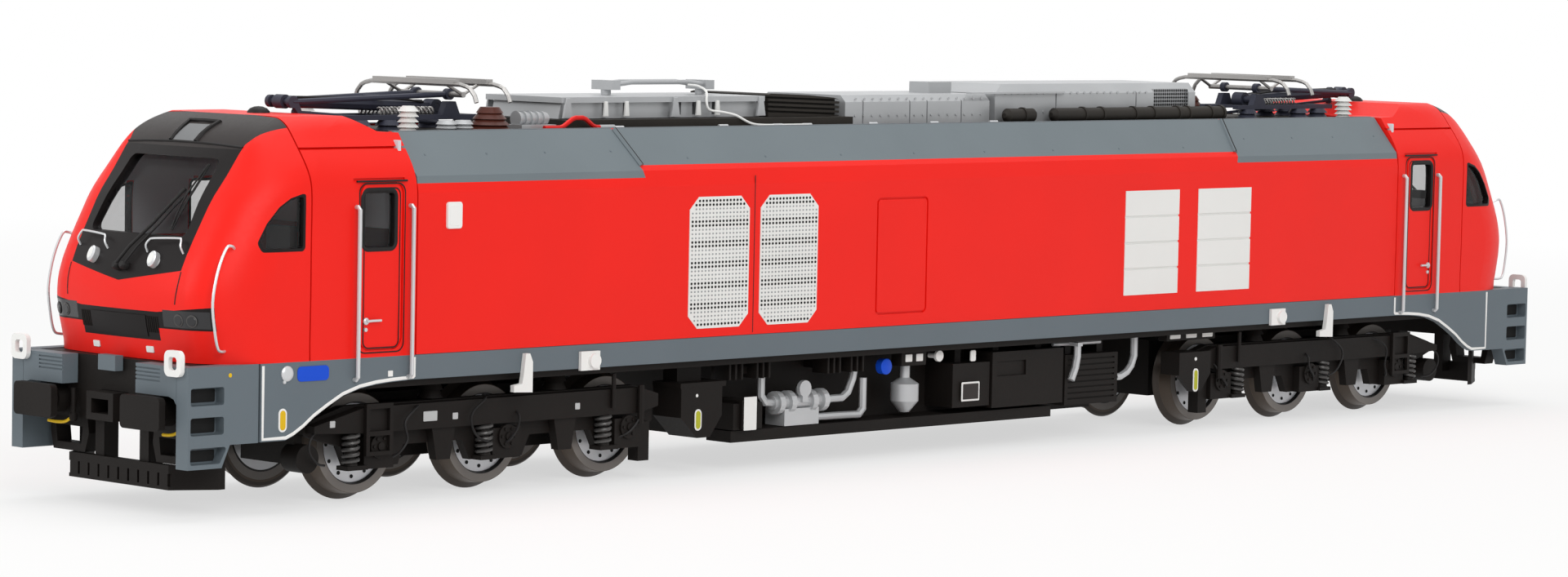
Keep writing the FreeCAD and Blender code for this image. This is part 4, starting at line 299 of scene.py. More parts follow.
for end in ("1", "2"):
    for piece in ("base", "lower_arm", "upper_arm", "control_rod"):
        by_node["pantograph_%s_%s" % (piece, end)] = pantograph_blue
    by_node["pantograph_head_" + end] = pewter
    for piece in ("frame", "springs", "fittings"):
        by_node["bogie_%s_%s" % (piece, end)] = frame_black

# %% [markdown]
# A wheel is one solid with several finishes: a dark hub, a silver disc, a thin dark joint and a steel tyre
# that has turned brownish. The distance from the axle decides which one shows, so a Mapping node moves the
# pattern's centre to each axle and a colour ramp with hard steps does the rest.

# %% Wheels painted by their distance from the axle
BOGIE_X = 79.3
AXLE_SPACING = 20.5
AXLE_HEIGHT = 6.13
WHEEL_REACH = 6.93
axle_places = [end * BOGIE_X + s for end in (1, -1) for s in (AXLE_SPACING, 0, -AXLE_SPACING)]
# Distance from the axle in millimetres from which each colour shows
wheel_rings = (
    (0.0, (0.030, 0.027, 0.025)), (2.15, (0.86, 0.87, 0.90)), (4.72, (0.016, 0.014, 0.013)),
    (4.98, (0.22, 0.20, 0.185)), (5.95, (0.105, 0.080, 0.062)), (6.25, (0.060, 0.048, 0.040)),
)


def ringed_wheel(number, axle_x):
    """The wheel finish of one wheelset, centred on its own axle."""
    material = finish("wheel_%d" % number, (0.5, 0.5, 0.5), 0.40, metal=0.3, uneven=0.06, gloss=0.3)
    tree = material.node_tree
    place = add(tree, "ShaderNodeTexCoord").outputs["Object"]
    centre = add(tree, "ShaderNodeMapping", {"Vector": place, "Location": -mm(axle_x, 0, AXLE_HEIGHT)})
    parts = add(tree, "ShaderNodeSeparateXYZ", {0: centre.outputs["Vector"]}).outputs
    flat = add(tree, "ShaderNodeCombineXYZ", {"X": parts["X"], "Z": parts["Z"]})
    reach = add(tree, "ShaderNodeVectorMath", {0: flat.outputs[0]}, operation="LENGTH")
    scaled = calc(tree, "DIVIDE", reach.outputs["Value"], WHEEL_REACH * MM)
    rings = ramp(tree, scaled, [(radius / WHEEL_REACH, colour) for radius, colour in wheel_rings], "CONSTANT")
    speck = add(tree, "ShaderNodeMapRange", {
        "Value": tree.nodes["broad"].outputs["Fac"], "To Min": 0.55, "To Max": 1.25
    })
    dust = add(tree, "ShaderNodeMix", data_type="RGBA", blend_type="MULTIPLY")
    fill(tree, dust, {"Factor": 0.5, "A": rings.outputs["Color"], "B": speck.outputs["Result"]})
    fill(tree, tree.nodes["Principled BSDF"], {"Base Color": dust.outputs["Result"]})
    return material


for number, axle_x in enumerate(axle_places, 1):
    by_node["wheelset_%d" % number] = ringed_wheel(number, axle_x)
print("wheel finishes:", len(axle_places))

# %% [markdown]
# Three more solids carry two colours each. The breaker's cable is red where it runs along the roof's edge,
# the upper front lamps are paler than the headlamps, and the visor over the windscreens is a warmer grey than
# the mask. Tests on the Object coordinates split them.


# %% Finishes that change with the place
def split_finish(name, first, second, tests):
    """The first finish's colour, or the second's where every test (axis, sign, millimetres) holds."""
    material = first.copy()
    material.name = name
    tree = material.node_tree
    place = add(tree, "ShaderNodeTexCoord").outputs["Object"]
    parts = add(tree, "ShaderNodeSeparateXYZ", {0: place}).outputs
    mask = 1.0
    for axis, sign, limit in tests:
        height = RAIL_HEAD if axis == "Z" else 0
        test = calc(tree, "GREATER_THAN" if sign > 0 else "LESS_THAN", parts[axis], (limit + height) * MM)
        mask = calc(tree, "MULTIPLY", test, mask)
    stops = [(e.position, e.color[:3]) for e in second.node_tree.nodes["tint"].color_ramp.elements]
    other = ramp(tree, tree.nodes["broad"].outputs["Fac"], stops)
    blend = add(tree, "ShaderNodeMix", data_type="RGBA")
    fill(tree, blend, {"Factor": mask, "A": tree.nodes["tint"].outputs["Color"], "B": other.outputs["Color"]})
    fill(tree, tree.nodes["Principled BSDF"], {"Base Color": blend.outputs["Result"]})
    return material


by_node["circuit_breaker"] = split_finish(
    "breaker_silver", roof_silver, cable_red, [("Y", -1, -10.2), ("X", 1, -80.0), ("X", -1, -61.0)]
)
by_node["front_lamps"] = split_finish("lamps_by_height", lamp_glass, label_grey, [("Z", 1, 25.0)])
by_node["cab_masks"] = split_finish("mask_and_visor", mask_black, visor_brown, [("Z", 1, 41.4)])
for name, material in by_node.items():
    mesh = nodes[name].data
    mesh.materials.clear()
    mesh.materials.append(material)
print("painted:", len(by_node), "of", len(nodes))

# %% [markdown]
# The small trim comes next. Each piece is collected in millimetres in a bmesh, on the near side or at the
# near end, and half a turn about the middle makes its twin, because the locomotive's two halves are the same
# that way. The makers below add one solid each: a block, a turned piece or a plate.


# %% Makers of blocks, turned pieces and plates
def block(bm, x, y, z, edge=0.05):
    """A box between two corners in millimetres, with broken edges."""
    verts = bmesh.ops.create_cube(bm, size=1.0)["verts"]
    for vert in verts:
        vert.co = Vector([(a + b) / 2 + v * abs(b - a) for v, (a, b) in zip(vert.co, (x, y, z))])
    edges = list({e for vert in verts for e in vert.link_edges})
    bmesh.ops.bevel(bm, geom=edges, offset=edge, segments=2, affect="EDGES", profile=0.6, clamp_overlap=True)


def circle(radius, sides, squash=1.0):
    """The outline of a circle or an ellipse about the origin."""
    turns = (2 * math.pi * i / sides for i in range(sides))
    return [(radius * math.cos(a), radius * squash * math.sin(a)) for a in turns]


def rounded(width, height, radius, steps=5):
    """The outline of a rounded rectangle about the origin."""
    points = []
    for quarter, (sx, sy) in enumerate(((1, 1), (-1, 1), (-1, -1), (1, -1))):
        for i in range(steps + 1):
            a = math.pi / 2 * (quarter + i / steps)
            across = sx * (width / 2 - radius) + radius * math.cos(a)
            upward = sy * (height / 2 - radius) + radius * math.sin(a)
            points.append((across, upward))
    return points


def joined(bm, lower, upper):
    """A band of faces between two rings of the same number of vertices."""
    for i in range(len(lower)):
        k = (i + 1) % len(lower)
        bm.faces.new((lower[i], lower[k], upper[k], upper[i]))


def turned(bm, axis, centre, outline, sides=24, place=Matrix.Identity(4)):
    """A round piece from (along, radius) pairs about an axis through a point, moved by a matrix."""
    along = {"x": Vector((1, 0, 0)), "y": Vector((0, 1, 0)), "z": Vector((0, 0, 1))}[axis]
    across = Vector((0, 0, 1)) if axis != "z" else Vector((1, 0, 0))
    third = along.cross(across)
    rings = []
    for height, radius in outline:
        middle = Vector(centre) + along * height
        around = circle(max(radius, 0.001), sides)
        rings.append([bm.verts.new(place @ (middle + across * a + third * b)) for a, b in around])
    for lower, upper in zip(rings, rings[1:]):
        joined(bm, lower, upper)
    bm.faces.new(list(reversed(rings[0])))
    bm.faces.new(rings[-1])


def plate(bm, outline, place, thickness, edge=0.04):
    """A flat plate from a closed outline in its own plane, moved by a matrix. Its back is at height zero."""
    middle = Vector((*(sum(v) / len(outline) for v in zip(*outline)), 0))
    bottom = [bm.verts.new(place @ Vector((a, b, 0))) for a, b in outline]
    top = [bm.verts.new(place @ Vector((a, b, thickness - edge))) for a, b in outline]
    lid = []
    for a, b in outline:
        inward = (middle - Vector((a, b, 0))).normalized() * edge
        lid.append(bm.verts.new(place @ (Vector((a, b, thickness)) + inward)))
    bm.faces.new(list(reversed(bottom)))
    bm.faces.new(lid)
    joined(bm, bottom, top)
    joined(bm, top, lid)


SIDE = -16.65


def on_side(x, z, y=SIDE):
    """A plane on the near side: its own x runs along the body, its own y upwards, and it faces outwards."""
    return Matrix(((1, 0, 0, x), (0, 0, -1, y), (0, 1, 0, z), (0, 0, 0, 1)))


# %% [markdown]
# Geometry Nodes make what repeats. Each tree is built here, with named inputs, and is run once: the result
# becomes a plain mesh, because the exported model keeps no instances.


# %% Helpers for geometry trees
def tree_with(name, sockets):
    """An empty geometry tree with named inputs, (label, socket type, first value), and a Material input."""
    tree = bpy.data.node_groups.new(name, "GeometryNodeTree")
    tree.interface.new_socket("Geometry", in_out="INPUT", socket_type="NodeSocketGeometry")
    for label, kind, value in sockets:
        socket = tree.interface.new_socket(label, in_out="INPUT", socket_type="NodeSocket" + kind)
        socket.default_value = value
    tree.interface.new_socket("Material", in_out="INPUT", socket_type="NodeSocketMaterial")
    tree.interface.new_socket("Geometry", in_out="OUTPUT", socket_type="NodeSocketGeometry")
    return tree, add(tree, "NodeGroupInput").outputs


def close_tree(tree, geometry, given):
    """Ends a tree in Realize Instances and Set Material."""
    real = add(tree, "GeometryNodeRealizeInstances", {"Geometry": geometry}).outputs[0]
    painted = add(tree, "GeometryNodeSetMaterial", {"Geometry": real, "Material": given["Material"]})
    add(tree, "NodeGroupOutput", {"Geometry": painted.outputs[0]})


def run_tree(tree, material, values, seed=None):
    """Runs a tree once on a seed mesh and returns the result as a plain mesh in millimetres."""
    obj = bpy.data.objects.new("seed", seed or bpy.data.meshes.new("seed"))
    scene.collection.objects.link(obj)
    modifier = obj.modifiers.new("tree", "NODES")
    modifier.node_group = tree
    values = dict(values, Material=material)
    for item in tree.interface.items_tree:
        if item.item_type == "SOCKET" and item.in_out == "INPUT" and item.name in values:
            modifier[item.identifier] = values[item.name]
    bpy.context.view_layer.update()
    result = bpy.data.meshes.new_from_object(obj.evaluated_get(bpy.context.evaluated_depsgraph_get()))
    obj.modifiers.remove(modifier)
    bpy.data.objects.remove(obj)
    return result


def grown(bm, material, tree, values, place):
    """Adds what a tree makes, moved by a matrix."""
    mesh = run_tree(tree, material, values)
    mesh.transform(place)
    bm.from_mesh(mesh)
    bpy.data.meshes.remove(mesh)


# %% [markdown]
# The first tree sets studs on a grid, drops those outside the cut corners and keeps some rows of each period.
# It makes the grilles' perforations and the housing's bolts. The second sets studs on a ring.

# %% Trees for a field and for a ring of studs
stud_field, given = tree_with("stud_field", [
    ("Width", "Float", 10.0), ("Height", "Float", 10.0), ("Columns", "Int", 10), ("Rows", "Int", 10),
    ("Radius", "Float", 0.2), ("Depth", "Float", 0.1), ("Sides", "Int", 6), ("Stretch", "Float", 1.0),
    ("Corner cut", "Float", 0.0), ("Period", "Float", 1.0), ("Kept rows", "Float", 1.0),
    ("Keep the rest", "Float", 0.0),
])
grid = add(stud_field, "GeometryNodeMeshGrid", {
    "Size X": given["Width"], "Size Y": given["Height"],
    "Vertices X": given["Columns"], "Vertices Y": given["Rows"],
})
position = add(stud_field, "GeometryNodeInputPosition")
spot = add(stud_field, "ShaderNodeSeparateXYZ", {0: position.outputs[0]}).outputs
gaps = calc(stud_field, "SUBTRACT", given["Rows"], 1.0)
row_pitch = calc(stud_field, "DIVIDE", given["Height"], gaps)
from_top = calc(stud_field, "SUBTRACT", calc(stud_field, "MULTIPLY", given["Height"], 0.5), spot["Y"])
row = calc(stud_field, "ROUND", calc(stud_field, "DIVIDE", from_top, row_pitch))
phase = calc(stud_field, "MODULO", row, given["Period"])
in_first_rows = calc(stud_field, "LESS_THAN", phase, given["Kept rows"])
wrong_row = calc(stud_field, "COMPARE", in_first_rows, given["Keep the rest"], 0.1)
sideways, upwards = (calc(stud_field, "ABSOLUTE", spot[axis]) for axis in "XY")
reach_out = calc(stud_field, "ADD", sideways, upwards)
corner = calc(stud_field, "MULTIPLY", calc(stud_field, "ADD", given["Width"], given["Height"]), 0.5)
limit = calc(stud_field, "ADD", calc(stud_field, "SUBTRACT", corner, given["Corner cut"]), 0.001)
outside = calc(stud_field, "GREATER_THAN", reach_out, limit)
kept = add(stud_field, "GeometryNodeDeleteGeometry", {
    "Geometry": grid.outputs["Mesh"], "Selection": calc(stud_field, "MAXIMUM", wrong_row, outside)
}, domain="POINT")
stud = add(stud_field, "GeometryNodeMeshCylinder", {
    "Vertices": given["Sides"], "Radius": given["Radius"], "Depth": given["Depth"]
})
squeeze = add(stud_field, "ShaderNodeCombineXYZ", {"X": 1.0, "Y": given["Stretch"], "Z": 1.0})
lift = add(stud_field, "ShaderNodeCombineXYZ", {"Z": calc(stud_field, "MULTIPLY", given["Depth"], 0.5)})
shaped = add(stud_field, "GeometryNodeTransform", {
    "Geometry": stud.outputs["Mesh"], "Translation": lift.outputs[0], "Scale": squeeze.outputs[0]
})
spread = add(stud_field, "GeometryNodeInstanceOnPoints", {
    "Points": kept.outputs["Geometry"], "Instance": shaped.outputs["Geometry"]
})
close_tree(stud_field, spread.outputs["Instances"], given)

stud_ring, given = tree_with("stud_ring", [
    ("Count", "Int", 12), ("Ring radius", "Float", 4.0), ("Radius", "Float", 0.2), ("Depth", "Float", 0.1),
    ("Sides", "Int", 10),
])
ring = add(stud_ring, "GeometryNodeMeshCircle", {"Vertices": given["Count"], "Radius": given["Ring radius"]})
stud = add(stud_ring, "GeometryNodeMeshCylinder", {
    "Vertices": given["Sides"], "Radius": given["Radius"], "Depth": given["Depth"]
})
spread = add(stud_ring, "GeometryNodeInstanceOnPoints", {
    "Points": ring.outputs["Mesh"], "Instance": stud.outputs["Mesh"]
})
close_tree(stud_ring, spread.outputs["Instances"], given)

# %% [markdown]
# Hoses, cables and painted lines all follow a path. One tree turns the edges of a seed mesh into a curve and
# sweeps a small circle along it. A painted line is then pressed flat on its wall.

# %% A tree for what follows a path
swept_path, given = tree_with("swept_path", [("Radius", "Float", 0.2), ("Sides", "Int", 8)])
path = add(swept_path, "GeometryNodeMeshToCurve", {"Mesh": given["Geometry"]})
profile = add(swept_path, "GeometryNodeCurvePrimitiveCircle", {
    "Resolution": given["Sides"], "Radius": given["Radius"]
})
sweep = add(swept_path, "GeometryNodeCurveToMesh", {
    "Curve": path.outputs["Curve"], "Profile Curve": profile.outputs["Curve"], "Fill Caps": True
})
close_tree(swept_path, sweep.outputs["Mesh"], given)


def eased(points, steps=6):
    """Points along a smooth curve that passes through the given ones."""
    spots = [Vector(p) for p in points]
    spots = [spots[0] * 2 - spots[1]] + spots + [spots[-1] * 2 - spots[-2]]
    result = []
    for a, b, c, d in zip(spots, spots[1:], spots[2:], spots[3:]):
        for t in (i / steps for i in range(steps)):
            bend, twist = 2 * a - 5 * b + 4 * c - d, 3 * b - a - 3 * c + d
            result.append(0.5 * (2 * b + (c - a) * t + bend * t * t + twist * t * t * t))
    result.append(spots[-2])
    return result


def coil(start, end, radius, turns, steps=10):
    """Points of a helix from one point to another."""
    a, b = Vector(start), Vector(end)
    axis = (b - a).normalized()
    side = axis.orthogonal().normalized()
    third = axis.cross(side)
    points = []
    for i in range(turns * steps + 1):
        angle = 2 * math.pi * i / steps
        outward = side * math.cos(angle) + third * math.sin(angle)
        points.append(a + (b - a) * i / (turns * steps) + outward * radius)
    return points


def swept(bm, material, points, radius, sides=8, closed=False, wall=None, flatness=0.5):
    """Adds a swept path. wall is the y of a wall that the line is pressed onto."""
    seed = bpy.data.meshes.new("path")
    edges = [(i, i + 1) for i in range(len(points) - 1)]
    if closed:
        edges.append((len(points) - 1, 0))
    seed.from_pydata([tuple(p) for p in points], edges, [])
    mesh = run_tree(swept_path, material, {"Radius": radius, "Sides": sides}, seed)
    if wall is not None:
        for vert in mesh.vertices:
            vert.co.y = wall + (vert.co.y - wall) * flatness
    bm.from_mesh(mesh)
    bpy.data.meshes.remove(mesh)


# %% [markdown]
# The last helper builds a whole piece from a list of parts. It adds the copies, puts the mesh in place in
# metres, turns its faces outwards, and lets it ride on its body.

# %% From parts to a piece
SMOOTH_ANGLE = math.radians(40)
TREE_MAKERS = (grown, swept)
HALF_TURN = Matrix.Rotation(math.pi, 4, "Z")
# The number of the bogie or pantograph, and 1 if it is at the near end
ENDS = ((2, 1), (1, -1))
made = []


def copied(bm, x_sign, y_sign):
    """Adds the same parts once more, with the signs of x and y changed."""
    copy = bmesh.ops.duplicate(bm, geom=bm.verts[:] + bm.edges[:] + bm.faces[:])["geom"]
    for item in copy:
        if isinstance(item, bmesh.types.BMVert):
            item.co = Vector((item.co.x * x_sign, item.co.y * y_sign, item.co.z))


TWIN = ((-1, -1),)
MIRRORED = ((1, -1),)
FOURFOLD = MIRRORED + TWIN
ALONE = ()


def trim(name, material, parts, copies=TWIN, body="body", end=1):
    """A piece from (maker, measures) parts. Where end is -1, it is moved to the far end."""
    bm = bmesh.new()
    for maker, *measures in parts:
        if maker in TREE_MAKERS:
            maker(bm, material, *measures)
        else:
            maker(bm, *measures)
    for signs in copies:
        copied(bm, *signs)
    if end < 0:
        bm.transform(HALF_TURN)
    for vert in bm.verts:
        vert.co = mm(*vert.co)
    # The copies still carry the normals they were copied with, and these decide which way is out
    bm.normal_update()
    bmesh.ops.recalc_face_normals(bm, faces=bm.faces[:])
    mesh = bpy.data.meshes.new(name)
    bm.to_mesh(mesh)
    bm.free()
    mesh.materials.clear()
    mesh.materials.append(material)
    mesh.shade_smooth()
    mesh.set_sharp_from_angle(angle=SMOOTH_ANGLE)
    obj = bpy.data.objects.new(name, mesh)
    scene.collection.objects.link(obj)
    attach(obj, body)
    made.append((name, len(mesh.polygons)))
    return obj


# %% [markdown]
# The grilles have two sizes of holes: two rows of larger ones, then three of smaller ones, over and over. The
# wheels' discs have a ring of small holes near the rim, and each ring rides on its own wheelset. Each hole is
# a
# flat stud of painted shade: dark in the larger grille holes and on the wheels, paler in the smaller grille
# holes.

# %% Perforations and wheel holes
GRILLES = (-45.65, -33.0)
GRILLE_MIDDLE = 26.455
GRILLE_FACE = -16.76
WHEEL_DISC = -9.36
grille_values = {
    "Width": 9.75, "Height": 15.6, "Columns": 17, "Rows": 31, "Depth": 0.04, "Corner cut": 1.05,
    "Period": 5.0, "Kept rows": 2.0, "Sides": 6,
}
for name, material, slot, rest, radius, stretch in (
    ("grille_holes_dark", hole_shade_dark, "roof_black", 0.0, 0.185, 0.95),
    ("grille_holes_pale", hole_shade_pale, "roof_grey", 1.0, 0.15, 0.85),
):
    values = dict(grille_values, Radius=radius, Stretch=stretch, **{"Keep the rest": rest})
    trim(name, material, [
        (grown, stud_field, values, on_side(x, GRILLE_MIDDLE, GRILLE_FACE)) for x in GRILLES
    ])
wheel_holes = {"Count": 12, "Ring radius": 4.05, "Radius": 0.24, "Depth": 0.1, "Sides": 12}
for number, axle_x in enumerate(axle_places, 1):
    trim("wheel_holes_%d" % number, hole_shade_dark, [
        (grown, stud_ring, wheel_holes, on_side(axle_x, AXLE_HEIGHT, WHEEL_DISC))
    ], MIRRORED, "wheelset_%d" % number)
print("perforations and wheel holes:", made)

# %% [markdown]
# A white line frames the deep end of each grey skirt: down its front edge, along the bottom, up the long
# curve over the bogie and up again at its inner end. The path repeats the skirt's own outline.

# %% The skirts' white lining
SKIRT_TIP = -119.9
SKIRT_END = -119.55
SKIRT_INNER = -96.45
SKIRT_LENGTH = 23.2
SKIRT_TOP = 16.75
SKIRT_BOTTOM = 14.2
SKIRT_DEPTH = 6.25
LINE_INSET = 0.3
skirt_curve = (
    (0, 0.02), (0.14, 0.04), (0.25, 0.07), (0.36, 0.13), (0.47, 0.25), (0.573, 0.44), (0.66, 0.62),
    (0.728, 0.80), (0.79, 0.93), (0.84, 1.0), (0.985, 1.0),
)
lining_path = [(SKIRT_END, SIDE, SKIRT_TOP)]
for along, down in reversed(skirt_curve):
    x = SKIRT_TIP + SKIRT_LENGTH * (1 - along) + (0.1 if along < 0.98 else 0)
    lining_path.append((max(x, SKIRT_END), SIDE, SKIRT_BOTTOM - SKIRT_DEPTH * down + LINE_INSET))
lining_path.append((SKIRT_INNER, SIDE, SKIRT_BOTTOM + LINE_INSET))
lining_path.append((SKIRT_INNER, SIDE, SKIRT_TOP))
trim("skirt_lining", trim_white, [(swept, lining_path, 0.2, 8, False, SIDE, 0.25)], FOURFOLD)

# %% [markdown]
# The marks on the skirts and hoppers stay blank: a yellow oval in a pale border, a round silver boss, a small
# blue plate. They are thin plates with broken edges, so that they catch the light as printed metal does.

# %% Blank plates and marks on the side
SKIRT_OVAL = (-116.6, 10.3)
HOPPER_OVAL = (-47.35, 6.4)
HOPPER_FACE = -15.17
SIDE_BOX = (-90.6, 33.45)
oval = rounded(1.25, 2.75, 0.6)
oval_inner = rounded(0.82, 2.3, 0.4)
dot = rounded(0.45, 0.45, 0.2)
trim("mark_borders", trim_white, [
    (plate, oval, on_side(*SKIRT_OVAL), 0.06), (plate, oval, on_side(*HOPPER_OVAL, HOPPER_FACE), 0.06),
    (plate, rounded(0.75, 0.7, 0.08), on_side(-100.2, 14.95), 0.05, 0.03),
    (plate, dot, on_side(-47.6, 9.5, HOPPER_FACE), 0.05, 0.03),
])
trim("skirt_ovals", sign_yellow, [
    (plate, oval_inner, on_side(*SKIRT_OVAL, SIDE - 0.05), 0.05),
    (plate, rounded(0.5, 0.5, 0.24), on_side(-124.3, 15.9, -16.5), 0.05, 0.03),
])
trim("hopper_ovals", hopper_yellow, [
    (plate, oval_inner, on_side(*HOPPER_OVAL, HOPPER_FACE - 0.05), 0.05)
])
blue_plate = rounded(4.75, 1.75, 0.55)
trim("skirt_plates", sign_blue, [(plate, blue_plate, on_side(-112.1, 15.55), 0.1)])
boss = [(-16.6, 0), (-16.6, 0.9), (-16.8, 0.9), (-16.95, 0.75), (-17.0, 0.4), (-17.0, 0)]
small_boss = [(-16.6, 0), (-16.6, 0.25), (-16.8, 0.22), (-16.85, 0)]
trim("skirt_bosses", rail_silver, [
    (turned, "y", (-116.05, 0, 15.7), boss, 20), (turned, "y", (-116.45, 0, 14.75), small_boss, 12),
])
trim("side_boxes", trim_white, [
    (plate, rounded(2.35, 3.2, 0.35), on_side(*SIDE_BOX), 0.35, 0.08),
    (plate, rounded(1.7, 2.5, 0.3), on_side(*SIDE_BOX, -16.98), 0.06, 0.04),
])

# %% Blank labels under the floor and on the bogies
CASE_FACE = -14.45
CASE_SIGN = (5.0, 7.3)
LABEL_FACE = -14.6
BOGIE_LABELS = (
    (-92.0, 9.3, 2.2, 1.2), (-88.0, 9.1, 0.85, 0.8), (-107.3, 9.15, 0.8, 0.8), (-67.8, 9.2, 0.8, 0.8),
)
trim("case_labels", trim_white, [
    (plate, rounded(2.3, 4.3, 0.1), on_side(-37.2, 6.6, CASE_FACE), 0.06)
])
trim("case_sign_frames", trim_white, [
    (plate, rounded(3.6, 2.6, 0.15), on_side(*CASE_SIGN, CASE_FACE), 0.08)
])
trim("case_sign_faces", visor_brown, [
    (plate, rounded(3.1, 2.1, 0.1), on_side(*CASE_SIGN, CASE_FACE - 0.08), 0.05)
])
valve_cap = [(-13.2, 0), (-13.2, 1.05), (-14.2, 1.05), (-14.3, 0.9), (-14.3, 0)]
trim("valve_caps", sign_blue, [(turned, "y", (-11.4, 0, 11.4), valve_cap)])
for number, end in ENDS:
    trim("bogie_labels_%d" % number, label_grey, [
        (plate, rounded(wide, high, 0.1), on_side(x, z, LABEL_FACE), 0.06, 0.03)
        for x, z, wide, high in BOGIE_LABELS
    ], ALONE, "bogie_%d" % number, end)
print("marks:", len(made), "pieces so far")

# %% [markdown]
# The nose is a free form, so its trim can't be placed by numbers alone. A ray cast at the solids finds the
# surface at a given place, and each line, lamp and handle is set on the point that the ray meets.


# %% Finding the surface
def skin_of(names):
    """The named solids' faces as one tree for ray casts."""
    verts, faces = [], []
    for name in names.split():
        base = len(verts)
        verts += [v.co.copy() for v in nodes[name].data.vertices]
        faces += [tuple(base + i for i in face.vertices) for face in nodes[name].data.polygons]
    return BVHTree.FromPolygons(verts, faces)


nose_skin = skin_of("cab_noses cab_masks windscreens front_bands front_lamps cab_sides cab_side_glass")
side_skin = skin_of("cab_noses cab_sides cab_side_glass machine_room_walls roof_edge_panels side_sills")
cab_skin = skin_of("cab_noses cab_sides machine_room_walls")
FAR_OUT = 200
TO_NOSE = Vector((1, 0, 0))
TO_WALL = Vector((0, 1, 0))


def met(skin, start, aim, stand):
    """The point in millimetres where a ray meets a skin, moved out by stand, and the way the skin faces."""
    place, normal = skin.ray_cast(mm(*start), aim)[:2]
    if normal.dot(aim) > 0:
        normal = -normal
    return place / MM - Vector((0, 0, RAIL_HEAD)) + normal * stand, normal


def on_nose(y, z, stand=0.0):
    """A point on the near end's skin."""
    return met(nose_skin, (-FAR_OUT, y, z), TO_NOSE, stand)[0]


def along_nose(stand, spots):
    """Points on the near end's skin from (y, z) pairs."""
    return [on_nose(y, z, stand) for y, z in spots]


def along_wall(stand, spots):
    """Points on the near side's skin from (x, z) pairs."""
    return [met(side_skin, (x, -FAR_OUT, z), TO_WALL, stand)[0] for x, z in spots]


def touching(point, normal, across):
    """A plane at a point: its own x is across, and it faces along the normal."""
    return Matrix.Translation(point) @ Matrix((across, normal.cross(across), normal)).transposed().to_4x4()


def nose_plane(y, z, stand=0.0):
    """A plane that touches the nose: its own x runs across, its own y up the slope, and it faces outwards."""
    point, normal = met(nose_skin, (-FAR_OUT, y, z), TO_NOSE, stand)
    return touching(point, normal, Vector((0, 0, 1)).cross(normal).normalized())


def patch(bm, rows, columns, wide, high, thickness):
    """A thin sheet laid on the nose between two limits of y and two of z. Its back is just under the skin."""
    across = [wide[0] + (wide[1] - wide[0]) * i / columns for i in range(columns + 1)]
    upward = [high[0] + (high[1] - high[0]) * j / rows for j in range(rows + 1)]

    def layer(stand):
        return [[bm.verts.new(on_nose(y, z, stand)) for y in across] for z in upward]

    outer, inner = layer(thickness), layer(-0.05)
    for j in range(rows):
        for i in range(columns):
            bm.faces.new((outer[j][i], outer[j][i + 1], outer[j + 1][i + 1], outer[j + 1][i]))
            bm.faces.new((inner[j][i], inner[j + 1][i], inner[j + 1][i + 1], inner[j][i + 1]))
    rim = [(0, i) for i in range(columns)] + [(j, columns) for j in range(rows)]
    rim += [(rows, i) for i in range(columns, 0, -1)] + [(j, 0) for j in range(rows, 0, -1)]
    joined(bm, [inner[j][i] for j, i in rim], [outer[j][i] for j, i in rim])


# %% [markdown]
# One wiper stands on the windscreen: a bent arm and its link rod on bosses at the foot of the mask, and a
# long blade that lies nearly along the screen's edge. It replaces the plain solids, a short rod for each half.

# %% The wipers
arm = along_nose(0.75, ((0.4, 27.5), (-1.1, 29.6), (-2.9, 32.2), (-4.4, 34.4), (-5.6, 36.3)))
link_rod = along_nose(0.6, ((-0.9, 27.6), (-2.3, 29.7), (-3.9, 32.3), (-5.1, 34.3), (-6.0, 35.6)))
blade_spots = ((-5.9, 31.9), (-6.1, 33.5), (-6.3, 35.5), (-6.4, 37.5), (-6.4, 39.4))
spine = [on_nose(y, z, stand) for (y, z), stand in zip(blade_spots, (0.3, 0.6, 0.75, 0.6, 0.3))]
wiper_boss = [(-0.1, 0), (-0.1, 0.5), (0.7, 0.5), (0.95, 0.32), (0.95, 0)]
wipers = trim("wiper_arms", seal_black, [
    (swept, arm, 0.2), (swept, link_rod, 0.12), (swept, along_nose(0.22, blade_spots), 0.16),
    (swept, eased(spine), 0.11),
] + [(turned, "z", (0, 0, 0), wiper_boss, 16, nose_plane(y, z)) for y, z in ((0.4, 27.5), (-0.9, 27.6))])
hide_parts("wipers")

# %% [markdown]
# The handles under the screens and the long grab rails on the nose are bent from thin wire. They replace
# thicker solid rods that have the same places.

# %% Nose handles and grab rails
handle = [on_nose(*spot) for spot in (
    (9.6, 29.5, 0), (9.5, 30.0, 0.7), (9.2, 30.75, 0.75), (8.6, 30.9, 0.75), (4.8, 30.7, 0.75),
    (4.1, 30.5, 0.75), (3.8, 29.9, 0.7), (3.7, 29.4, 0),
)]
grab_rail = [on_nose(*spot) for spot in (
    (-15.0, 30.3, -0.1), (-14.8, 30.4, 0.7), (-14.55, 30.0, 1.15), (-14.5, 27.6, 1.2), (-14.5, 24.2, 1.2),
    (-14.5, 21.2, 1.2), (-14.5, 19.1, 1.15), (-14.7, 18.6, 0.6), (-14.9, 18.5, -0.1),
)]
handles = trim("nose_handles", rail_silver, [
    (swept, eased(handle, 4), 0.13), (swept, eased(grab_rail, 4), 0.17)
], FOURFOLD)
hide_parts("front_handrails")
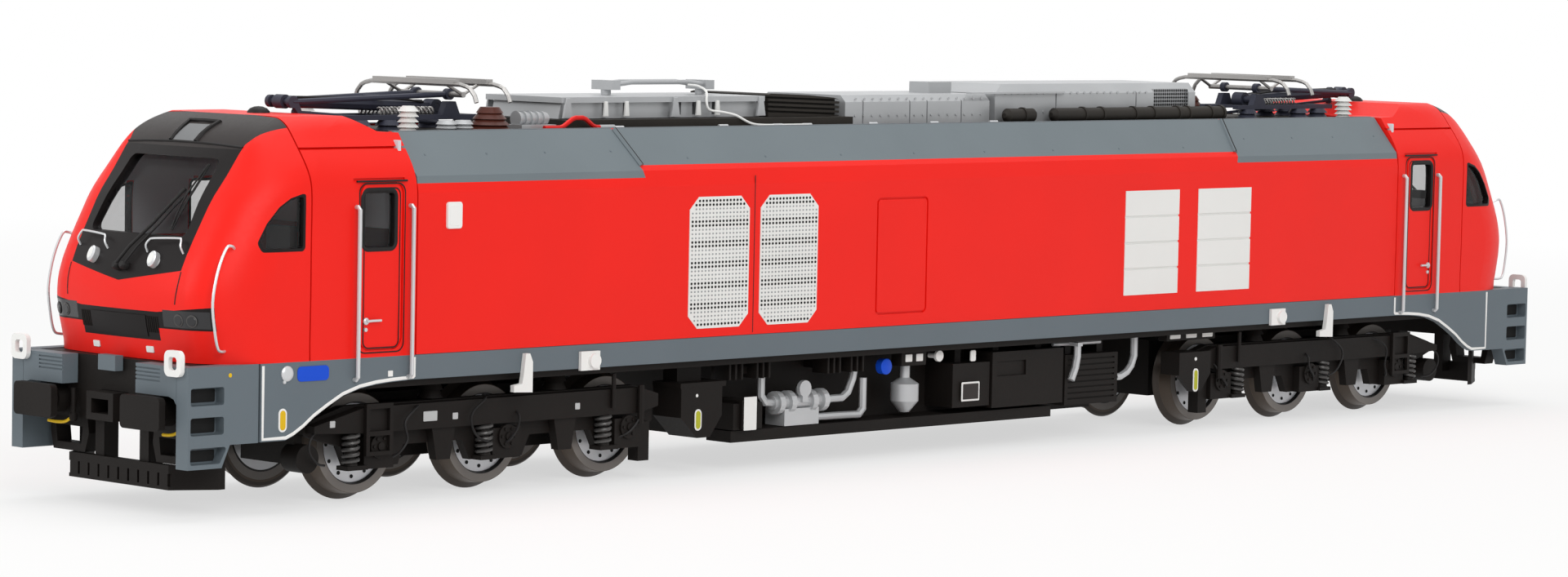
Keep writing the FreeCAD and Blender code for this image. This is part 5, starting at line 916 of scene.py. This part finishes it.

# %% [markdown]
# The visor's lip casts a fine line of painted shadow over the screen, and the top lamp sits in a recess whose
# depth is a dark rim of painted shade round a grey lamp plate. The nose has a seam each side of its middle
# panel, and the band between the headlamps has fine upright ribs.

# %% Lines and panels on the nose
visor_shadow_line = [(y, 41.95 - 0.0029 * y * y) for y in (-10.6, -9, -7, -4.5, -2, 0, 2, 4.5, 7, 9, 10.6)]
seam = ((10.25, 27.45), (10.25, 26.6), (10.2, 25.6), (10.1, 24.6), (10.0, 23.7))
# The line along the visor's foot is painted shadow of its lip; the two seams are dark joints.
trim("nose_lines", seal_black, [(swept, along_nose(0.02, visor_shadow_line), 0.15)] + [
    (swept, along_nose(0, [(side * y, z) for y, z in seam]), 0.08, 6) for side in (-1, 1)
])
# The dark rim round the top lamp is painted shade standing for the depth of its recess.
recess_shade_rim = along_nose(0.02, (
    (2.3, 42.0), (2.35, 42.8), (2.45, 43.5), (2.7, 44.25), (1.4, 44.3), (0, 44.32), (-1.4, 44.3),
    (-2.7, 44.25), (-2.45, 43.5), (-2.35, 42.8), (-2.3, 42.0),
))
trim("visor_recess_shade", seal_black, [(swept, recess_shade_rim, 0.34)])
trim("top_lamp_panel", lamp_grey, [(patch, 4, 4, (-1.95, 1.95), (42.0, 43.9), 0.08)])
rib_places = [side * (5.4 + 0.32 * i) for side in (-1, 1) for i in range(6)]
trim("band_ribs", frame_black, [
    (swept, along_nose(0.03, [(y, z) for z in (20.25, 20.9, 21.5, 22.1)]), 0.09, 6) for y in rib_places
])
trim("band_panel", mask_black, [(patch, 3, 8, (-5.1, 5.1), (19.7, 22.2), 0.1)])

# %% [markdown]
# The lamps: tall silver units stand in front of the mask, each headlamp has two dark lenses in dark rings,
# and two small pale lamps sit at the foot of the nose.

# %% Lamps
UPPER_LAMPS = [(side * 5.6, 28.5) for side in (-1, 1)]
HEADLAMPS = [(side * y, 21.9) for side in (-1, 1) for y in (10.5, 12.4)]
FOOT_LAMPS = [(side * 5.0, 18.2) for side in (-1, 1)]
lamp_rim = circle(0.66, 20, 0.98 / 0.66)
lamp_lens = circle(0.42, 16, 0.7 / 0.42)
for name, material, slot, spots, outline, stand, thickness, edge in (
    ("upper_lamp_rims", rail_silver, "rail_silver", UPPER_LAMPS, lamp_rim, 0, 0.85, 0.15),
    ("upper_lamp_lenses", trim_white, "lamp_glass", UPPER_LAMPS, lamp_lens, 0.8, 0.14, 0.06),
    ("headlamp_rings", wire_dark, "rail_silver", HEADLAMPS, circle(0.74, 24), 0, 0.1, 0.04),
    ("headlamp_lenses", lamp_glass, "lamp_glass", HEADLAMPS, circle(0.58, 24), 0.08, 0.08, 0.04),
    ("foot_lamps", trim_white, "lamp_glass", FOOT_LAMPS, rounded(1.25, 0.75, 0.12), 0, 0.12, 0.04),
):
    trim(name, material, [(plate, outline, nose_plane(y, z, stand), thickness, edge) for y, z in spots])

# %% [markdown]
# Black rubber seals the door windows. Inside each cab a grey wall closes off the machine room and a grey
# lining covers the side walls, so that the glass has something to be seen against. Two seats stand before it.

# %% Window seals, cab walls and seats
SEAL_FACE = -16.6
LINING_COLUMNS, LINING_ROWS = 60, 30
LINING_START, LINING_LENGTH = -97.3, 20.2
LINING_BOTTOM, LINING_HEIGHT = 30.0, 11.0
LINING_STAND = 0.12
# A ray that goes farther than this has left through a window, and a face that bends more spans a step
WALL_REACH, LINING_STEP = 16.2, 1.6


def lining(bm):
    """A thin sheet just inside the near side wall of the cab, open where the windows are."""
    spots = {}
    for i in range(LINING_COLUMNS + 1):
        for j in range(LINING_ROWS + 1):
            x = LINING_START - LINING_LENGTH * i / LINING_COLUMNS
            z = LINING_BOTTOM + LINING_HEIGHT * j / LINING_ROWS
            place, _, _, distance = cab_skin.ray_cast(mm(x, 0, z), -TO_WALL)
            if place is not None and distance < WALL_REACH * MM:
                spots[i, j] = bm.verts.new((x, place.y / MM + LINING_STAND, z))
    for i in range(LINING_COLUMNS):
        for j in range(LINING_ROWS):
            corners = [spots.get(key) for key in ((i, j), (i + 1, j), (i + 1, j + 1), (i, j + 1))]
            if all(corners) and max(v.co.y for v in corners) - min(v.co.y for v in corners) < LINING_STEP:
                bm.faces.new(corners)
    bmesh.ops.delete(bm, geom=[v for v in bm.verts if not v.link_faces], context="VERTS")
    bmesh.ops.solidify(bm, geom=bm.faces[:], thickness=0.08)


seal = [(-102.2 + a, SEAL_FACE, 33.2 + b) for a, b in rounded(5.3, 7.1, 0.95)]
trim("door_window_seals", seal_black, [(swept, seal, 0.24, 8, True, SEAL_FACE)], FOURFOLD)
trim("cab_back_walls", cab_wall_grey, [
    (block, (-97.7, -97.2), (-14.6, 14.6), (31.8, 42.4), 0.1),
    (block, (-98.0, -97.7), (-3.2, 3.2), (31.8, 41.2), 0.15),
])
trim("cab_linings", cab_wall_grey, [(lining,)], FOURFOLD)
trim("cab_seats", seal_black, [part for y in (-6.2, 6.2) for part in (
    (block, (-104.6, -103.4), (y - 2.0, y + 2.0), (31.0, 35.6), 0.5),
    (block, (-104.4, -103.6), (y - 1.1, y + 1.1), (35.6, 37.2), 0.35),
)])

# %% [markdown]
# Each door has a fine dark joint all round, a rain strip above it and a lever handle near its lower end.

# %% Door joints, rain strips and handles
DOOR_X, DOOR_Z = -101.8, 27.5
JOINT_FACE = -16.66
LEVER_X = -104.2
door_rings = [
    [(DOOR_X + a, JOINT_FACE, DOOR_Z + b) for a, b in outline]
    for outline in (rounded(7.1, 19.9, 1.1), rounded(5.5, 18.8, 0.8))
]
trim("door_joints", seal_black, [
    (swept, ring, 0.085, 6, True, JOINT_FACE) for ring in door_rings
] + [(swept, [(-105.8, -16.68, 37.75), (-98.0, -16.68, 37.75)], 0.13, 6)], FOURFOLD)
lever_rose = [(-16.6, 0), (-16.6, 0.42), (-16.85, 0.42), (-16.95, 0.3), (-16.95, 0)]
keyhole = [(-16.6, 0), (-16.6, 0.28), (-16.8, 0.24), (-16.8, 0)]
lever = [(LEVER_X, -16.95, 21.3), (-103.4, -17.05, 21.35), (-102.1, -17.05, 21.35)]
trim("door_levers", rail_silver, [
    (turned, "y", (LEVER_X, 0, 21.3), lever_rose, 16), (turned, "y", (LEVER_X, 0, 20.3), keyhole, 12),
    (swept, lever, 0.16),
], FOURFOLD)

# %% [markdown]
# The roof carries the busy part: posts on the fan hoods, a screened window and rows of bolts on the housing,
# a white cable that drops from the busbar to the deck, and rivets and joint strips on the grey edge panels.

# %% Roof trim
HOOD_FACE = -7.0
HOUSING_FACE = -7.6
post = [(-0.42, -0.95), (0.42, -0.95), (0.26, 0.95), (-0.26, 0.95)]
gusset = [(-0.8, -1.2), (0.8, -1.2), (0.35, 1.3), (-0.35, 1.3)]
trim("fan_posts", trim_white, [
    (plate, post, on_side(x, 45.5, HOOD_FACE), 0.25, 0.05) for x in (-56.7, -53.06, -40.3, -36.85)
], MIRRORED)
trim("fan_gussets", roof_silver, [
    (plate, gusset, on_side(x, 45.6, HOOD_FACE), 0.3, 0.06) for x in (-63.3, -44.5, -28.9)
], MIRRORED)
# The screen's dark studs are painted shade, seen through the mesh of the housing's window.
screen = {"Width": 7.2, "Height": 2.5, "Columns": 16, "Rows": 6, "Radius": 0.2, "Depth": 0.05, "Sides": 4}
trim("housing_screen", hole_shade_dark, [
    (grown, stud_field, screen, on_side(54.2, 46.05, HOUSING_FACE + 0.1))
], MIRRORED)
bolt_fields = (
    (36.5, 45.8, 11.5, 2.6, 9), (22.5, 45.8, 8.0, 2.6, 7), (46.5, 45.8, 4.0, 2.6, 4),
    (1.0, 45.4, 25.0, 2.2, 16),
)
trim("housing_bolts", roof_silver, [(grown, stud_field, {
    "Width": wide, "Height": high, "Columns": columns, "Rows": 2, "Radius": 0.2, "Depth": 0.14, "Sides": 6,
}, on_side(x, z, HOUSING_FACE)) for x, z, wide, high, columns in bolt_fields], MIRRORED)
cable = eased([
    (-37.0, -1.9, 48.3), (-37.6, -4.4, 48.2), (-38.9, -7.1, 47.6), (-39.4, -7.7, 46.3), (-39.0, -7.9, 45.3),
    (-37.2, -8.5, 45.0), (-35.6, -9.3, 44.6), (-34.0, -10.1, 43.7), (-32.4, -10.5, 43.4),
    (-28.0, -10.6, 43.35), (-23.5, -10.6, 43.35),
])
trim("roof_cable", trim_white, [(swept, cable, 0.16)], ALONE)
trim("roof_edge_pins", rail_silver, [
    (turned, "x", (0, -10.55, 43.35), [(x, 0), (x, 0.2), (x + 1.6, 0.2), (x + 1.6, 0)], 10)
    for x in (-58.5, -40.0, -30.0, -24.5, -12.0, 0.0, 12.0)
], ALONE)
dome = [(44.9, 0), (44.9, 1.4), (45.4, 1.35), (45.75, 1.0), (45.95, 0.5), (46.0, 0)]
trim("cab_roof_domes", seal_black, [(turned, "z", (-107.0, 0, 0), dome, 28)])

# %% Deck borders, joint strips and rivets on the roof edge
EDGE_GAP = ((-58.72, 38.8), (-59.05, 40.0), (-59.42, 41.2), (-59.75, 42.3), (-60.02, 43.2))
RIVETS = (
    -93.2, -83.3, -73.7, -62.6, -50.0, -36.0, -22.0, -8.0, 6.0, 20.0, 34.0, 48.0, 62.6, 73.7, 83.3, 93.2,
)
# The edge panels are taller beyond this x, so the rivets sit higher there
TALL_PANELS = 55
trim("deck_borders", roof_grey, [
    (block, (-96.0, 96.0), (-11.62, -10.86), (43.26, 43.37), 0.02)
], MIRRORED)
wall_joint = [(-39.3, JOINT_FACE, 17.3), (-39.3, JOINT_FACE, 37.3)]
trim("wall_joints", seal_black, [(swept, wall_joint, 0.07, 6, False, JOINT_FACE)])
trim("step_shadows", hole_shade_dark, [
    (plate, rounded(4.3, high, 0.2), on_side(-127.5, z, -15.02), 0.06, 0.02)
    for z, high in ((13.6, 1.5), (10.25, 1.8), (6.7, 1.3))
], FOURFOLD)
trim("roof_joint_strips", roof_grey, [(swept, along_wall(0, EDGE_GAP), 0.42, 6)], FOURFOLD)
trim("roof_joint_lines", seal_black, [(swept, along_wall(0.34, EDGE_GAP), 0.1, 6)], FOURFOLD)
rivet = [(-0.05, 0), (-0.05, 0.16), (0.04, 0.14), (0.06, 0)]
rivet_spots = [
    met(side_skin, (x, -FAR_OUT, 40.6 if abs(x) > TALL_PANELS else 39.6), TO_WALL, 0.0) for x in RIVETS
]
trim("roof_rivets", sill_grey, [
    (turned, "z", (0, 0, 0), rivet, 8, touching(place, normal, TO_NOSE)) for place, normal in rivet_spots
])

# %% [markdown]
# The pantographs get what their plain tubes leave out: tension springs beside the lower arm and the thin
# cables that carry current along it. Springs ride on the body, and each cable moves with its own arm.

# %% Pantograph springs and cables
arm_cable = ((-81.5, 46.35), (-86.0, 46.75), (-93.0, 46.9), (-101.5, 47.05))
for number, end in ENDS:
    trim("pantograph_springs_%d" % number, pewter, [
        (swept, coil((-89.8, y, 45.35), (-81.0, y, 45.35), 0.42, 14), 0.13, 6) for y in (-1.95, 1.95)
    ], ALONE, "body", end)
    trim("pantograph_cables_%d" % number, seal_black, [
        (swept, eased([(x, y, z) for x, z in arm_cable]), 0.16, 6) for y in (-0.62, 0.62)
    ], ALONE, "pantograph_lower_arm_%d" % number, end)

# %% [markdown]
# Under the buffers hang two brake cocks with yellow levers, and thin black hoses drop from the bogie frames
# to the brakes. Hoses are eased curves, because a real hose never has a corner. Bolts hold the axle covers.

# %% Cocks, levers, bogie hoses and axle covers
COCK_X = -128.7
COVER_FACE = -14.65
cock_levers = (
    ((-128.9, -13.3, 9.5), (-129.1, -12.4, 9.05), (-129.2, -11.6, 8.9), (-129.2, -10.5, 8.85)),
    ((-128.9, 6.9, 9.5), (-129.1, 7.9, 8.9), (-129.2, 9.4, 8.75), (-129.2, 11.0, 8.8)),
)
cock = [(9.0, 0), (9.0, 0.35), (9.3, 0.5), (9.9, 0.5), (10.1, 0.32), (12.9, 0.32), (12.9, 0)]
trim("cock_levers", sign_yellow, [(swept, eased(route, 4), 0.19) for route in cock_levers])
trim("brake_cocks", frame_black, [
    (turned, "z", (COCK_X, y, 0), cock, 14) for y in (-13.3, 6.9)
])
HOSES = (
    (
        (-83.2, -14.2, 11.4), (-83.6, -15.1, 11.0), (-85.6, -15.2, 9.6), (-85.9, -15.2, 8.2),
        (-84.9, -15.1, 6.6), (-83.2, -15.0, 5.8), (-81.6, -14.2, 5.8),
    ),
    ((-78.0, -14.3, 9.3), (-78.0, -15.1, 8.6), (-78.2, -15.1, 7.2), (-79.4, -15.0, 5.8), (-79.9, -14.2, 5.3)),
    ((-56.8, -14.2, 8.8), (-57.0, -15.0, 8.0), (-57.9, -15.1, 6.8), (-59.2, -15.0, 5.6), (-60.2, -14.2, 4.9)),
    (
        (-93.3, -14.2, 10.8), (-95.2, -15.2, 10.2), (-96.6, -15.3, 8.8), (-96.2, -15.3, 6.8),
        (-97.0, -15.0, 5.4), (-97.6, -14.2, 4.7),
    ),
    (
        (-108.9, -14.0, 8.6), (-110.4, -14.4, 7.6), (-110.6, -14.4, 6.0), (-109.2, -14.2, 4.6),
        (-107.6, -13.6, 4.2),
    ),
)
cover_bolts = {"Count": 6, "Ring radius": 1.02, "Radius": 0.2, "Depth": 0.3, "Sides": 6}
cover_hub = [(-14.5, 0), (-14.5, 0.55), (-14.85, 0.5), (-14.9, 0)]
near_axles = [s - BOGIE_X for s in (-AXLE_SPACING, 0, AXLE_SPACING)]
for number, end in ENDS:
    bogie = "bogie_%d" % number
    trim("bogie_hoses_%d" % number, seal_black, [
        (swept, eased(route), 0.15, 7) for route in HOSES
    ], MIRRORED, bogie, end)
    trim("axle_cover_bolts_%d" % number, frame_black, [part for x in near_axles for part in (
        (grown, stud_ring, cover_bolts, on_side(x, AXLE_HEIGHT, COVER_FACE)),
        (turned, "y", (x, 0, AXLE_HEIGHT), cover_hub, 14),
    )], MIRRORED, bogie, end)

# %% [markdown]
# A coil of wire winds round each axle spring, and under the middle hang cable brackets and a few small pale
# fittings. The hoppers' gauges are pale rims with a yellow face.

# %% Axle springs and small fittings
AXLE_SPRINGS = (-103.9, -82.7, -62.8)
SPRING_Y = -13.97
for number, end in ENDS:
    trim("axle_spring_coils_%d" % number, wire_dark, [
        (swept, coil((x, SPRING_Y, 4.2), (x, SPRING_Y, 7.8), 0.92, 5, 14), 0.23, 6) for x in AXLE_SPRINGS
    ], MIRRORED, "bogie_%d" % number, end)
bracket_edges = [x + 1.1 * i for x in (-41.0, -36.0, -22.8, -18.4) for i in range(3)]
trim("cable_brackets", frame_black, [
    (block, (-8.7, -3.9), (-14.4, -12.5), (11.3, 13.9), 0.1),
    (block, (46.6, 57.4), (-14.2, -12.6), (12.2, 13.9), 0.1),
] + [(block, (x, x + 0.35), (-14.3, -11.5), (11.0, 13.9), 0.06) for x in bracket_edges])
knob = [(-12.5, 0), (-12.5, 0.35), (-13.9, 0.35), (-14.0, 0.75), (-14.4, 0.75), (-14.5, 0)]
trim("small_fittings", trim_white, [
    (plate, rounded(1.3, 1.0, 0.1), on_side(x, 12.35, -14.38), 0.08) for x in (-7.3, -5.2)
] + [
    (plate, rounded(2.3, 0.8, 0.15), on_side(x, 12.9, -14.18), 0.12) for x in (48.4, 52.0, 55.6)
] + [
    (plate, rounded(1.0, 1.5, 0.25), on_side(5.4, 12.1, -14.35), 0.2),
    (turned, "y", (-1.2, 0, 12.35), knob, 16),
])
GAUGE = (51.7, 6.6)
GAUGE_FACE = -15.4
for number, end in ((1, 1), (2, -1)):
    bogie = "bogie_%d" % number
    trim("gauge_rims_%d" % number, trim_white, [
        (plate, rounded(1.15, 3.3, 0.5), on_side(*GAUGE, GAUGE_FACE), 0.08),
        (plate, rounded(0.5, 0.5, 0.2), on_side(51.65, 9.6, GAUGE_FACE), 0.08),
    ], ALONE, bogie, end)
    trim("gauge_faces_%d" % number, hopper_yellow, [
        (plate, rounded(0.7, 2.8, 0.33), on_side(*GAUGE, GAUGE_FACE - 0.06), 0.07)
    ], ALONE, bogie, end)

# %% [markdown]
# The last step prints how many pieces were added and how many faces they have.

# %% Pieces and faces
print("pieces:", len(made), "faces:", sum(count for name, count in made))
